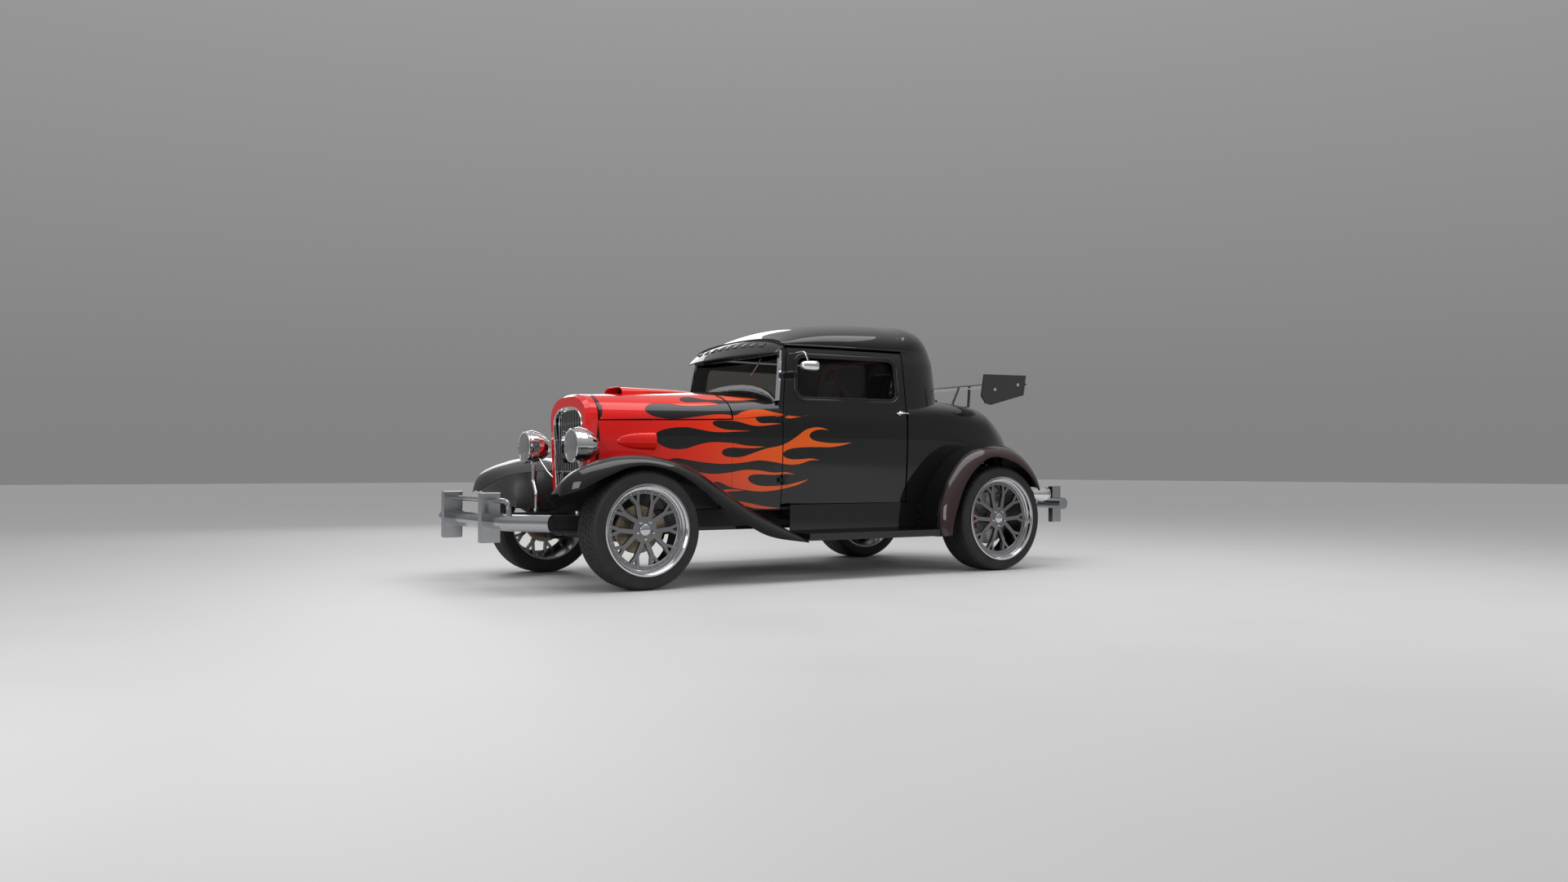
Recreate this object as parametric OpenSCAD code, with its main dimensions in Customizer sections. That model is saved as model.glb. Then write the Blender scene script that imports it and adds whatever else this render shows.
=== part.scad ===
// Hot rod: a fendered three-window coupe of the early 1930s pattern.
// X points forward, Y to the left, Z up, millimetres; the ground is z = 0.
// Every module draws in a frame whose x = 0 is midway between the axles; place() moves it
// so that the origin of the part is the middle of its length, on the ground.

/* [Wheels] */
// Distance between the axles
wheelbase = 2692; // [2400:1:3300]
// Radius of the front tyres
front_tyre_r = 347; // [300:1:400]
// Radius of the rear tyres
rear_tyre_r = 359.5; // [300:0.5:400]
// Width of the front tyres
front_tyre_w = 236; // [180:1:280]
// Width of the rear tyres
rear_tyre_w = 268; // [200:1:300]
// Radius of the front rims at the lip
front_rim_r = 264; // [220:1:280]
// Radius of the rear rims at the lip
rear_rim_r = 284; // [220:1:300]
// Thickness of a rim barrel
rim_wall = 9; // [6:1:14]
// Radius of the front brake discs
front_disc_r = 140; // [120:1:170]
// Radius of the rear brake discs
rear_disc_r = 180; // [150:1:190]

/* [Body] */
// Half width of the body at the doors
body_half_w = 692; // [600:1:840]
// Half width of the grille shell
shell_half_w = 292; // [250:1:360]
// Height of the grille shell
shell_top_z = 1166; // [1050:1:1300]
// Height of the roof
roof_z = 1718; // [1560:1:1900]
// Height of the belt crease along the body
belt_z = 1045; // [960:1:1120]
// Height of the lower edge of the body
sill_z = 476; // [440:1:520]
// Thickness of a door and of the cabin wall
wall = 42; // [30:1:55]
// Thickness of the hood, fender and deck panels
panel = 10; // [6:1:14]
// Gap around a panel that opens
shut_gap = 5; // [5:0.5:8]
// Length of the hood between the grille shell and the cowl
hood_len = 805; // [650:1:970]
// Length of the cowl between the hood and the door
cowl_len = 322; // [270:1:400]

/* [Glass] */
// Thickness of the glass
glass = 5; // [4:0.5:8]
// Lower edge of the door window
window_low_z = 1160; // [1120:1:1220]
// Upper edge of the door window
window_top_z = 1424; // [1360:1:1440]

/* [Frame and axles] */
// Distance of a frame rail from the middle plane
rail_y = 330; // [300:1:380]
// Height of a frame rail
rail_h = 110; // [90:1:130]
// Width of a frame rail
rail_w = 60; // [45:1:75]
// Underside of the frame rails
rail_low_z = 330; // [300:1:345]
// Radius of the front axle beam
axle_r = 27; // [22:1:34]
// Radius of the rear axle tubes
axle_tube_r = 38; // [32:1:46]
// Radius of the wheel spindles
spindle_r = 20; // [16:1:24]
// Radius of the king pins
king_pin_r = 11; // [9:1:14]

/* [Bumpers, lamps and wing] */
// Distance from the front axle to the front face of the front bumper
front_reach = 814; // [700:1:980]
// Distance from the rear axle to the rear face of the rear bumper
rear_reach = 1014; // [900:1:1220]
// Radius of the front bumper tube
bumper_r = 47; // [40:1:56]
// Radius of a headlight bucket
headlight_r = 100; // [85:1:120]
// Half width of the wing between its endplates
wing_half_w = 744; // [600:1:860]

/* [Hidden] */
$fn = 48;
// Clearance of a piece that sits on another, and of a shaft in its bearing
fit = 0.3;
run = 0.1;

front_axle_x = wheelbase / 2;
rear_axle_x = -wheelbase / 2;
front_wheel_y = body_half_w + 49;
rear_wheel_y = body_half_w + 82;
centre_x = (front_reach - rear_reach) / 2;

// Stations along the body
shell_rear_x = front_axle_x + 59;
shell_front_x = shell_rear_x + 74;
cowl_x = shell_rear_x - hood_len;
door_front_x = cowl_x - cowl_len;
door_rear_x = rear_axle_x + 660;
cab_back_x = rear_axle_x + 136;
roof_edge_z = roof_z - 213;
door_top_z = roof_edge_z - 25;
rail_top_z = rail_low_z + rail_h;
floor_z = rail_top_z + 12;
header_x = door_front_x - 56;
cowl_rear_x = door_front_x + shut_gap;
door_gap_rear = shut_gap + 3;
bulkhead_x = cowl_x - 170;
fender_out_y = front_wheel_y + front_tyre_w / 2 + 10;
flare_out_y = rear_wheel_y + rear_tyre_w / 2 + 24;
board_out_y = fender_out_y + 8;
// The front edge of the door leans back above the belt
seam_lean = (door_front_x - header_x + shut_gap) / (door_top_z - belt_z);
hinge_x = door_front_x + 2;
hinge_y = body_half_w - 50;
hinge_pin_r = 4;
hinge_heights = [sill_z + 152, belt_z - 25];

// ---------- shared curves ----------
function slope(p, i) =
    let(a = max(i - 1, 0), b = min(i + 1, len(p) - 1)) (p[b][1] - p[a][1]) / (p[b][0] - p[a][0]);
function hermite(x, p, i) =
    let(h = p[i + 1][0] - p[i][0], t = (x - p[i][0]) / h)
    p[i][1] * (1 + 2 * t) * (1 - t) * (1 - t) + slope(p, i) * h * t * (1 - t) * (1 - t)
    + p[i + 1][1] * t * t * (3 - 2 * t) - slope(p, i + 1) * h * t * t * (1 - t);
// Smooth curve through points sorted by their first number
function curve(x, p, i = 0) =
    x <= p[0][0] ? p[0][1] :
    x >= p[len(p) - 1][0] ? p[len(p) - 1][1] :
    x <= p[i + 1][0] ? hermite(x, p, i) : curve(x, p, i + 1);
function power(v, n) = sign(v) * pow(abs(v), n);
function steps(a, b, n) = [for (i = [0:n]) a + (b - a) * i / n];

// Half width of the body at the crease
function plan(x) = curve(x, [[rear_axle_x - 200, body_half_w - 100], [cab_back_x, body_half_w - 30],
    [door_rear_x, body_half_w], [door_rear_x + 400, body_half_w - 4],
    [door_front_x, body_half_w - 58], [cowl_x, body_half_w - 146],
    [(cowl_x + shell_rear_x) / 2, (body_half_w - 146 + shell_half_w) / 2 + 12],
    [shell_rear_x, shell_half_w]]);
// How far the side stands inside the crease line at a height
function tuck(z) = curve(z, [[sill_z - 100, 46], [sill_z, 30], [sill_z + 250, 8], [belt_z - 40, 0],
    [belt_z + 60, 14], [window_top_z, 58], [roof_edge_z, 84]]);
function side_y(x, z) = plan(x) - tuck(z);
function seam_x(z) = door_front_x - seam_lean * max(0, z - belt_z);

// Closed panel between an outer and an inner grid of points
module sheet(outer, inner) {
    rows = len(outer);
    cols = len(outer[0]);
    n = rows * cols;
    points = [for (g = [outer, inner]) for (row = g) for (p = row) p];
    skin = [for (i = [0:rows - 2]) for (j = [0:cols - 2])
        let(a = i * cols + j, b = a + 1, c = a + cols, d = c + 1)
        each [[a, b, d], [a, d, c], [n + a, n + d, n + b], [n + a, n + c, n + d]]];
    rim_rows = [for (j = [0:cols - 2])
        let(a = j, b = a + 1, c = n - cols + j, d = c + 1)
        each [[b, a, n + a], [b, n + a, n + b], [c, d, n + d], [c, n + d, n + c]]];
    rim_cols = [for (i = [0:rows - 2])
        let(a = i * cols, b = a + cols, c = a + cols - 1, d = b + cols - 1)
        each [[a, b, n + b], [a, n + b, n + a], [d, c, n + c], [d, n + c, n + d]]];
    polyhedron(points, concat(skin, rim_rows, rim_cols));
}

module place() {
    translate([-centre_x, 0, 0]) children();
}
module both() {
    for (side = [0, 1]) mirror([0, side, 0]) children();
}
module bar(a, b, r) {
    v = b - a;
    length = norm(v);
    translate(a) rotate([0, acos(v[2] / length), atan2(v[1], v[0])]) cylinder(h = length, r = r);
}

// ---------- arches: sections that cross the body from left to right ----------
// An arch stands on a base point, reaches along a direction, and is a superellipse
function arch(bx, bz, dx, dz, w, reach, n, cols) = [for (j = [0:cols])
    let(a = 180 * j / cols, r = reach * power(sin(a), 2 / n))
    [bx + dx * r, w * power(cos(a), 2 / n), bz + dz * r]];

// Solid of closed rings that all have the same number of points; seen from the last ring,
// each goes round anticlockwise
module stack(rings) {
    n = len(rings[0]);
    last = (len(rings) - 1) * n;
    points = [for (r = rings) for (p = r) p];
    sides = [for (k = [0:len(rings) - 2]) for (j = [0:n - 1])
        let(a = k * n + j, b = k * n + (j + 1) % n)
        each [[b, a, b + n], [b + n, a, a + n]]];
    caps = [[for (j = [0:n - 1]) j], [for (j = [n - 1:-1:0]) last + j]];
    polyhedron(points, concat(sides, caps));
}
function unit(v) = v / norm(v);
// Pipe through a list of points, with its rings square to the path
module pipe(points, r, sides = 12) {
    last = len(points) - 1;
    ahead = [for (i = [0:last]) unit(points[min(i + 1, last)] - points[max(i - 1, 0)])];
    stack([for (i = [0:last])
        let(u = unit(cross(ahead[i], abs(ahead[i][2]) > 0.8 ? [1, 0, 0] : [0, 0, 1])), v = cross(ahead[i], u))
        [for (k = [0:sides - 1]) let(a = 360 * k / sides) points[i] + r * cos(a) * u + r * sin(a) * v]]);
}
// Points of a path with its corners rounded by short chords
function bent(points, cut) = concat([points[0]],
    [for (i = [1:len(points) - 2])
        let(p = points[i], a = p + cut * unit(points[i - 1] - p), b = p + cut * unit(points[i + 1] - p))
        each [for (t = [0, 0.25, 0.5, 0.75, 1]) a * (1 - t) * (1 - t) + 2 * p * t * (1 - t) + b * t * t]],
    [points[len(points) - 1]]);

// ---------- roof and cabin back ----------
function crown(x) = curve(x, [[door_rear_x - 60, roof_z - 3], [door_rear_x + 60, roof_z],
    [door_rear_x + 300, roof_z - 14], [door_front_x - 400, roof_z - 40],
    [door_front_x - 200, roof_z - 88], [header_x, roof_z - 150]]);
function cab_reach(z) = door_rear_x - curve(z, [[belt_z, cab_back_x], [roof_edge_z - 90, cab_back_x + 12],
    [roof_edge_z, cab_back_x + 30]]);
function dome_reach(a) = curve(a, [[0, roof_z - 3 - roof_edge_z], [25, roof_z + 20 - roof_edge_z],
    [45, roof_z + 90 - roof_edge_z], [68, cab_reach(roof_edge_z) * 0.84], [90, cab_reach(roof_edge_z)]]);
cab_levels = steps(roof_edge_z - 60, belt_z + 20, 4);
function roof_rows(inset) = concat(
    [for (x = steps(header_x + 1, door_rear_x, 7))
        arch(x, roof_edge_z, 0, 1, side_y(x, roof_edge_z) - inset,
            crown(x) - roof_edge_z - inset, 2.3, 16)],
    [for (a = [15:15:90])
        arch(door_rear_x, roof_edge_z, -sin(a), cos(a), side_y(door_rear_x, roof_edge_z) - inset,
            dome_reach(a) - inset, 2.3 + a / 450, 16)],
    [for (z = cab_levels)
        arch(door_rear_x, z, -1, 0, side_y(door_rear_x, z) - inset, cab_reach(z) - inset, 2.5, 16)]);

// ---------- lower rear body ----------
function deck_z(x) = curve(x - rear_axle_x, [[-706, sill_z + 26], [-694, 640], [-664, 770],
    [-614, belt_z - 155], [-554, belt_z - 60], [-474, belt_z + 10], [-374, belt_z + 70],
    [-254, belt_z + 115], [-104, belt_z + 140], [136, belt_z + 152], [660, belt_z + 155]]);
function quarter_z(x) = curve(x - rear_axle_x, [[-706, sill_z + 14], [-614, 560], [-504, 640],
    [-354, belt_z - 285], [-214, belt_z - 150], [-154, belt_z - 102], [-24, belt_z - 60],
    [116, belt_z - 24], [346, belt_z + 2], [660, belt_z + 5]]);
function quarter_y(x) = curve(x - rear_axle_x, [[-706, body_half_w - 462], [-614, body_half_w - 342],
    [-504, body_half_w - 252], [-354, body_half_w - 162], [-154, body_half_w - 82],
    [116, body_half_w - 30], [346, body_half_w - 8], [660, body_half_w]]);
function rear_section(x, inset) =
    let(y = quarter_y(x) - inset, z = quarter_z(x), h = deck_z(x) - z - inset,
        side = [for (s = [0, 0.35, 0.7])
            [x, y - tuck(sill_z + (belt_z - sill_z) * s), sill_z + (z - sill_z) * s]])
    concat(side,
        [for (j = [0:12]) let(a = 15 * j) [x, y * power(cos(a), 2 / 2.8), z + h * power(sin(a), 2 / 2.8)]],
        [for (k = [2:-1:0]) [x, -side[k][1], side[k][2]]]);
deck_stations = [door_rear_x - shut_gap, cab_back_x + 260, cab_back_x, rear_axle_x - 100,
    rear_axle_x - 254, rear_axle_x - 374, rear_axle_x - 474, rear_axle_x - 554, rear_axle_x - 614,
    rear_axle_x - 664, rear_axle_x - 694, rear_axle_x - 706];
module deck_shell() {
    sheet([for (x = deck_stations) rear_section(x, 0)],
        [for (x = deck_stations) rear_section(min(x, door_rear_x), panel)]);
}
// Space inside the cabin wall, a little larger than the wall when grow is positive
module cabin_core(grow) {
    stack([for (k = [[belt_z - 60, 4], [cab_levels[4], 4], [cab_levels[3], 3], [cab_levels[2], 2]])
        let(level = cab_levels[k[1]], w = side_y(door_rear_x, level) + grow)
        concat([[door_rear_x + 30, w, k[0]]],
            arch(door_rear_x, k[0], -1, 0, w, cab_reach(level) + grow, 2.5, 16),
            [[door_rear_x + 30, -w, k[0]]])]);
}
lid_front_x = cab_back_x - 70;
lid_rear_x = rear_axle_x - 590;
lid_hinge_x = lid_front_x - 2;
lid_hinge_z = deck_z(lid_front_x) + 9;
lid_hinge_y = 220;
module lid_cut(gap) {
    r = 40;
    front_w = body_half_w - 272 - gap;
    rear_w = body_half_w - 432 - gap;
    translate([0, 0, belt_z - 260]) linear_extrude(600) hull()
        for (p = [[lid_front_x - gap - r, front_w - r], [lid_rear_x + gap + r, rear_w - r]], side = [-1, 1])
            translate([p[0], side * p[1]]) circle(r, $fn = 32);
}

// ---------- hood and cowl ----------
function crease(x) = curve(x, [[door_rear_x, belt_z + 5], [door_front_x, belt_z - 9],
    [cowl_x, belt_z - 32], [shell_rear_x, belt_z - 45], [shell_front_x, belt_z - 45]]);
function hood_z(x) = curve(x, [[cowl_rear_x, belt_z + 195], [cowl_x, shell_top_z + 42],
    [(cowl_x + shell_rear_x) / 2, shell_top_z + 20], [shell_rear_x, shell_top_z]]);
function hood_arch(x, inset) =
    arch(x, crease(x), 0, 1, plan(x) - inset, hood_z(x) - crease(x) - inset, 2.2, 14);
function side_column(x, low, high, inset) = [for (s = [0, 0.3, 0.65, 1])
    let(z = low + (high - low) * s) [x, side_y(x, z) - inset, z]];
// Lower edge of the hood side, just below the inner edge of the fender
function apron_z(x) = inner_f(x) - 8;

module scoop() {
    stack([for (s = [[cowl_x + 20, 26, 8], [cowl_x + 150, 40, 24], [cowl_x + 350, 62, 34],
        [cowl_x + 500, 76, 38], [cowl_x + 575, 84, 30]])
        let(x = s[0], base = hood_z(x) - 12, top = hood_z(x) + s[2])
        [for (p = [[1.5, 0], [1.2, 0.55], [0.85, 1], [-0.85, 1], [-1.2, 0.55], [-1.5, 0]])
            [x, p[0] * s[1] * 1.6, p[1] == 0 ? base : base + (top - base) * p[1]]]]);
}

// ---------- fenders ----------
function crown_f(x) = curve(x - front_axle_x, [[-1106, 264], [-989, 322], [-750, 436],
    [-634, 508], [-475, 614], [-368, 682], [-262, 732], [-159, 758], [-30, 780], [82, 782],
    [185, 768], [268, 744], [352, 714], [433, 668], [478, 612], [490, 568]]);
function lip_f(x) = curve(x - front_axle_x, [[-1106, 240], [-806, 292], [-575, 412],
    [-454, 490], [-383, 552], [-278, 622], [-175, 676], [-73, 706], [37, 718], [147, 701],
    [231, 666], [313, 629], [395, 584], [478, 550], [490, 545]]);
function inner_f(x) = curve(x - front_axle_x, [[-1106, 266], [-989, 330], [-746, sill_z + 36],
    [-346, 640], [59, 690], [200, 682], [352, 650], [490, 560]]);
function inner_fy(x) = x < shell_rear_x ? max(side_y(x, inner_f(x)) + 2, 0) :
    curve(x - front_axle_x, [[59, shell_half_w + 2], [200, shell_half_w + 110],
        [352, shell_half_w + 220], [490, shell_half_w + 330]]);
function outer_fy(x) = curve(x - front_axle_x, [[-1106, fender_out_y], [150, fender_out_y],
    [352, fender_out_y - 26], [433, fender_out_y - 62], [490, fender_out_y - 130]]);
function fender_row(x, inset) =
    let(yi = inner_fy(x), yo = outer_fy(x) - inset, yc = yi + (yo - yi) * 0.74,
        zi = inner_f(x) - inset, zc = crown_f(x) - inset, zo = lip_f(x))
    concat([for (s = [0, 0.3, 0.6, 0.85]) [x, yi + (yc - yi) * s, zi + (zc - zi) * sin(90 * s)]],
        [for (a = [0, 25, 50, 70, 90]) [x, yc + (yo - yc) * sin(a), zo + (zc - zo) * cos(a)]]);
fender_x = [for (d = [-1106, -940, -760, -634, -520, -420, -320, -200, -70, 60, 170, 268, 352, 420, 466, 490])
    front_axle_x + d];
module front_fender() {
    sheet([for (x = fender_x) fender_row(x, 0)], [for (x = fender_x) fender_row(x, panel)]);
}

function rear_side_y(x, z) =
    let(zc = quarter_z(x), t = max(0, min(1, (z - sill_z) / (zc - sill_z))))
    z <= zc ? quarter_y(x) - tuck(sill_z + (belt_z - sill_z) * t) :
    quarter_y(x) * pow(max(0, 1 - pow(min(1, (z - zc) / (deck_z(x) - zc)), 2.8)), 1 / 2.8);
// Rear fender sections stand around the rear axle: angle from straight ahead, then radius
crest_r = [[-12, 185], [18, 169], [37, 161], [54, 163], [70, 155], [85, 144], [105, 143],
    [123, 131], [141, 106], [150, 76]];
lip_r = [[-12, 125], [12, 73], [31, 67], [54, 71], [73, 78], [91, 52], [115, 30], [136, 20], [150, 18]];
function fender_point(a, y, r) =
    [rear_axle_x + (rear_tyre_r + r) * cos(a), y, rear_tyre_r + (rear_tyre_r + r) * sin(a)];
function rear_fender_row(a, inset) =
    let(rc = curve(a, crest_r) - inset, rl = curve(a, lip_r),
        body_x = rear_axle_x + (rear_tyre_r + rc) * cos(a),
        body_z = rear_tyre_r + (rear_tyre_r + rc) * sin(a),
        yi = rear_side_y(body_x, body_z) + 3,
        yo = flare_out_y - inset, yc = yi + (yo - yi) * 0.6)
    concat([for (s = [0, 0.35, 0.7]) fender_point(a, yi + (yc - yi) * s, rc)],
        [for (t = [0, 30, 55, 75, 90]) fender_point(a, yc + (yo - yc) * sin(t), rl + (rc - rl) * cos(t))]);
fender_a = [150, 140, 128, 114, 100, 86, 72, 58, 44, 30, 16, 2, -12];
module rear_fender() {
    sheet([for (a = fender_a) rear_fender_row(a, 0)], [for (a = fender_a) rear_fender_row(a, panel)]);
}

// ---------- nodes ----------
kick_z = rear_tyre_r + axle_tube_r + 40;
frame_rear_x = rear_axle_x - 540;
spring_y = rail_y + rail_w / 2 + 42;
perch_z = kick_z + 70;
tow_r = 11;
module frame_rails() {
    horn_top = rail_top_z - 20;
    horn_x = front_axle_x + front_reach - 2 * bumper_r - 36 - fit;
    color("black") place() {
        both() translate([0, rail_y + rail_w / 2, 0]) rotate([90, 0, 0]) linear_extrude(rail_w) difference() {
            polygon([[horn_x, horn_top - 60], [horn_x, horn_top], [front_axle_x + 60, horn_top],
                [front_axle_x + 40, rail_top_z], [rear_axle_x + 460, rail_top_z],
                [rear_axle_x + 240, kick_z + 90], [frame_rear_x, kick_z + 90], [frame_rear_x, kick_z],
                [rear_axle_x + 200, kick_z], [rear_axle_x + 400, rail_low_z],
                [front_axle_x + 20, rail_low_z]]);
            translate([horn_x - 40, horn_top - 30]) circle(tow_r);
            translate([frame_rear_x + 95, kick_z + 45]) circle(tow_r);
        }
        for (x = [front_axle_x - 60, cowl_x + 30, door_rear_x + 60])
            translate([x, -rail_y, rail_low_z + 20]) cube([60, 2 * rail_y, rail_h - 20]);
        translate([frame_rear_x, -rail_y, kick_z + 10]) cube([60, 2 * rail_y, 60]);
        // Perches of the rear springs
        both() translate([rear_axle_x - 110, rail_y, perch_z]) cube([80, spring_y - rail_y + 40, 14]);
    }
}
module engine_block() {
    color("dimgray") place()
        translate([cowl_x + 60, -210, rail_top_z + fit]) cube([560, 420, 430]);
}
function floor_y(x) = min(side_y(x, rail_top_z) - panel, body_half_w - 48) - fit;
module floor_pan() {
    xs = steps(rear_axle_x + 460, bulkhead_x + 12, 8);
    side = floor_y(bulkhead_x + 12);
    color("black") place() {
        translate([0, 0, rail_top_z]) linear_extrude(12)
            polygon(concat([for (x = xs) [x, -floor_y(x)]], [for (k = [8:-1:0]) [xs[k], floor_y(xs[k])]]));
        // Bulkhead behind the engine
        stack([for (x = [bulkhead_x, bulkhead_x + 12])
            concat([for (p = hood_arch(bulkhead_x, 4 * panel)) [x, p[1], p[2]]],
                [[x, -side, rail_top_z], [x, side, rail_top_z]])]);
        // Brackets of the hood hinges
        both() translate([bulkhead_x + 6, hood_hinge_y - 4, hood_hinge_z - 30]) difference() {
            cube([hood_hinge_x - bulkhead_x + 8, 8, 44]);
            translate([hood_hinge_x - bulkhead_x - 6, -1, 30]) rotate([-90, 0, 0])
                cylinder(h = 10, r = hinge_pin_r + run);
        }
    }
}
hood_hinge_x = bulkhead_x + 22;
hood_hinge_y = 150;
hood_hinge_z = hood_z(bulkhead_x) - 52;
// Radius of the rods that hold an axle fore and aft
rod_r = 16;
module front_axle() {
    color("dimgray") place() {
        y = front_wheel_y - 130;
        translate([front_axle_x, 0, front_tyre_r - 60]) rotate([90, 0, 0])
            cylinder(h = 2 * y - 60, r = axle_r, center = true);
        both() translate([front_axle_x, y, front_tyre_r - 60]) {
            translate([0, 0, -30]) difference() {
                cylinder(h = 60, r = 36);
                translate([0, 0, -1]) cylinder(h = 62, r = king_pin_r + run);
            }
        }
        // Transverse leaf spring under the front crossmember
        for (k = [0:3]) translate([front_axle_x - 22, -360 + 70 * k, front_tyre_r - 60 + axle_r + 9 * k])
            cube([44, 720 - 140 * k, 9]);
        // Radius rods
        both() bar([front_axle_x - axle_r + 6, 300, front_tyre_r - 66],
            [cowl_x + 120, 270, rail_low_z - 15], rod_r);
    }
}
module rear_axle() {
    color("dimgray") place() {
        y = rear_wheel_y - rear_tyre_w / 2 - 8;
        translate([rear_axle_x, 0, rear_tyre_r]) {
            rotate([90, 0, 0]) cylinder(h = 2 * y, r = axle_tube_r, center = true);
            sphere(r = 125);
            both() translate([0, y - 2, 0]) rotate([-90, 0, 0]) cylinder(h = rear_wheel_y - y, r = spindle_r);
            both() translate([0, rear_wheel_y, 0]) caliper(rear_disc_r);
            // Coil springs between the axle and the frame
            both() translate([-70, spring_y, -30]) cylinder(h = perch_z - fit - rear_tyre_r + 30, r = 36);
            both() translate([-90, spring_y - 40, -20]) cube([90, 80, 30]);
        }
        both() bar([rear_axle_x + axle_tube_r - 8, 250, rear_tyre_r - 20],
            [rear_axle_x + 560, 240, rail_low_z - 20], rod_r + 2);
    }
}
// Height where the shell starts to round over
shell_brow_z = belt_z - 45;
module grille_shell() {
    nose_round = 16;
    color("red") place() difference() {
        stack([for (x = [shell_rear_x + fit, shell_front_x - 30, shell_front_x])
            let(k = x == shell_front_x ? nose_round : 0, w = shell_half_w - k,
                h = shell_top_z - shell_brow_z - k)
            concat([for (j = [0:16]) let(a = 180 * j / 16)
                [x, w * power(cos(a), 2 / 2.6), shell_brow_z + h * power(sin(a), 2 / 2.4)]],
                [[x, 50 - w, rail_top_z + 40], [x, w - 50, rail_top_z + 40]])]);
        translate([shell_rear_x - 20, 0, 0]) rotate([90, 0, 90]) linear_extrude(200) grille_outline(0);
    }
}
module grille_outline(grow) {
    w = shell_half_w - 78 + grow;
    top = shell_top_z - 84 + grow;
    polygon(concat([for (j = [0:10]) let(a = 18 * j)
        [w * power(cos(a), 2 / 2.6), belt_z - 75 + (top - belt_z + 75) * power(sin(a), 2 / 2.2)]],
        [[-w + 45, rail_top_z + 100 - grow], [w - 45, rail_top_z + 100 - grow]]));
}
module grille_bars() {
    color("silver") place() translate([shell_front_x - 44, 0, 0]) rotate([90, 0, 90]) {
        linear_extrude(14) difference() {
            grille_outline(-fit);
            grille_outline(-16);
        }
        linear_extrude(24) intersection() {
            grille_outline(-10);
            union() {
                for (k = [-7:7]) translate([k * 25 - 3.5, rail_top_z]) square([7, shell_top_z]);
                translate([-shell_half_w, rail_top_z + 240]) square([2 * shell_half_w, 6]);
                translate([-shell_half_w, rail_top_z + 440]) square([2 * shell_half_w, 6]);
            }
        }
    }
}
module hood_sides() {
    xs = steps(shell_rear_x, cowl_x + fit, 7);
    color("red") place() both()
        sheet([for (x = xs) side_column(x, apron_z(x), crease(x) - shut_gap, 0)],
            [for (x = xs) side_column(x, apron_z(x), crease(x) - shut_gap, panel)]);
}
cowl_xs = steps(cowl_x, cowl_rear_x, 4);
module cowl() {
    xs = cowl_xs;
    color("black") place() {
        sheet([for (x = xs) hood_arch(x, 0)], [for (x = xs) hood_arch(x, panel)]);
        both() sheet([for (x = xs) side_column(x, rail_top_z, crease(x), 0)],
            [for (x = xs) side_column(x, rail_top_z, crease(x), panel)]);
        // Windshield pillars
        both() sheet([for (d = [pillar_depth, shut_gap]) pillar_column(d, 0)],
            [for (d = [pillar_depth, shut_gap]) pillar_column(d, pillar_w)]);
        // Hinge barrels of the doors
        both() for (z = hinge_heights) {
            translate([hinge_x, hinge_y, z - 15]) difference() {
                union() {
                    cylinder(h = 30, r = 8);
                    translate([0, side_y(hinge_x, z) - hinge_y - 6, 0])
                        cube([34, hinge_y - side_y(hinge_x, z) + 6, 30]);
                }
                translate([0, 0, -1]) cylinder(h = 32, r = hinge_pin_r + run);
                translate([-10, side_y(hinge_x, z) - hinge_y - 7, -1])
                    cube([9 + shut_gap - 1, 4, 32]);
            }
        }
    }
}
pillar_depth = shut_gap + 22;
pillar_w = wall * 0.8;
function pillar_column(d, inset) = [for (z = steps(crease(cowl_rear_x) - 2, roof_edge_z - 41, 3))
    [seam_x(z) + d, side_y(seam_x(z) + d, z) - inset, z]];
header_depth = 25;
module rear_window(grow) {
    translate([cab_back_x - 60, 0, 0]) rotate([90, 0, 90]) linear_extrude(200)
        rounded(rear_window_w + 2 * grow, rear_window_h + 2 * grow, 60, rear_window_z);
}
rear_window_w = 600;
rear_window_h = 180;
rear_window_z = window_low_z + 165;
module roof_shell() {
    color("black") place() {
        difference() {
            sheet(roof_rows(0), roof_rows(wall));
            rear_window(0);
        }
        // Header above the windshield
        translate([header_x, 0, 0]) rotate([90, 0, 90]) linear_extrude(header_depth)
            polygon(concat([for (p = arch(0, roof_edge_z, 0, 1, side_y(header_x, roof_edge_z),
                crown(header_x) - roof_edge_z, 2.3, 16)) [p[1], p[2]]],
                [for (side = [-1, 1]) [side * side_y(header_x, roof_edge_z), roof_edge_z - 40]]));
    }
}
module rear_body() {
    color("black") place() {
        difference() {
            deck_shell();
            cabin_core(fit);
            lid_cut(0);
            // Wheel arches
            both() translate([rear_axle_x, rear_wheel_y - rear_tyre_w / 2 - 40, rear_tyre_r])
                rotate([-90, 0, 0]) cylinder(h = 300, r = rear_tyre_r + 30);
        }
        both() translate([0, lid_hinge_y, 0]) difference() {
            union() {
                translate([lid_hinge_x, 0, lid_hinge_z]) rotate([-90, 0, 0]) cylinder(h = 30, r = 8);
                translate([lid_hinge_x + 3, 0, lid_hinge_z - 19]) cube([26, 30, 19]);
            }
            translate([lid_hinge_x, -1, lid_hinge_z]) rotate([-90, 0, 0])
                cylinder(h = 32, r = hinge_pin_r + run);
        }
    }
}
module trunk_lid() {
    color("black") place() {
        difference() {
            intersection() {
                deck_shell();
                lid_cut(shut_gap);
            }
            wing_struts(strut_r + fit);
        }
        both() translate([lid_hinge_x, lid_hinge_y, lid_hinge_z]) {
            translate([0, -12, 0]) rotate([-90, 0, 0]) cylinder(h = 54, r = hinge_pin_r);
            for (k = [-12, 31]) translate([0, k, 0]) {
                rotate([-90, 0, 0]) cylinder(h = 11, r = 8);
                translate([-30, 0, -19]) cube([26, 11, 19]);
            }
        }
    }
}
shield_t = 18;
// Width of the rail round the windshield
shield_rail = 26;
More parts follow.
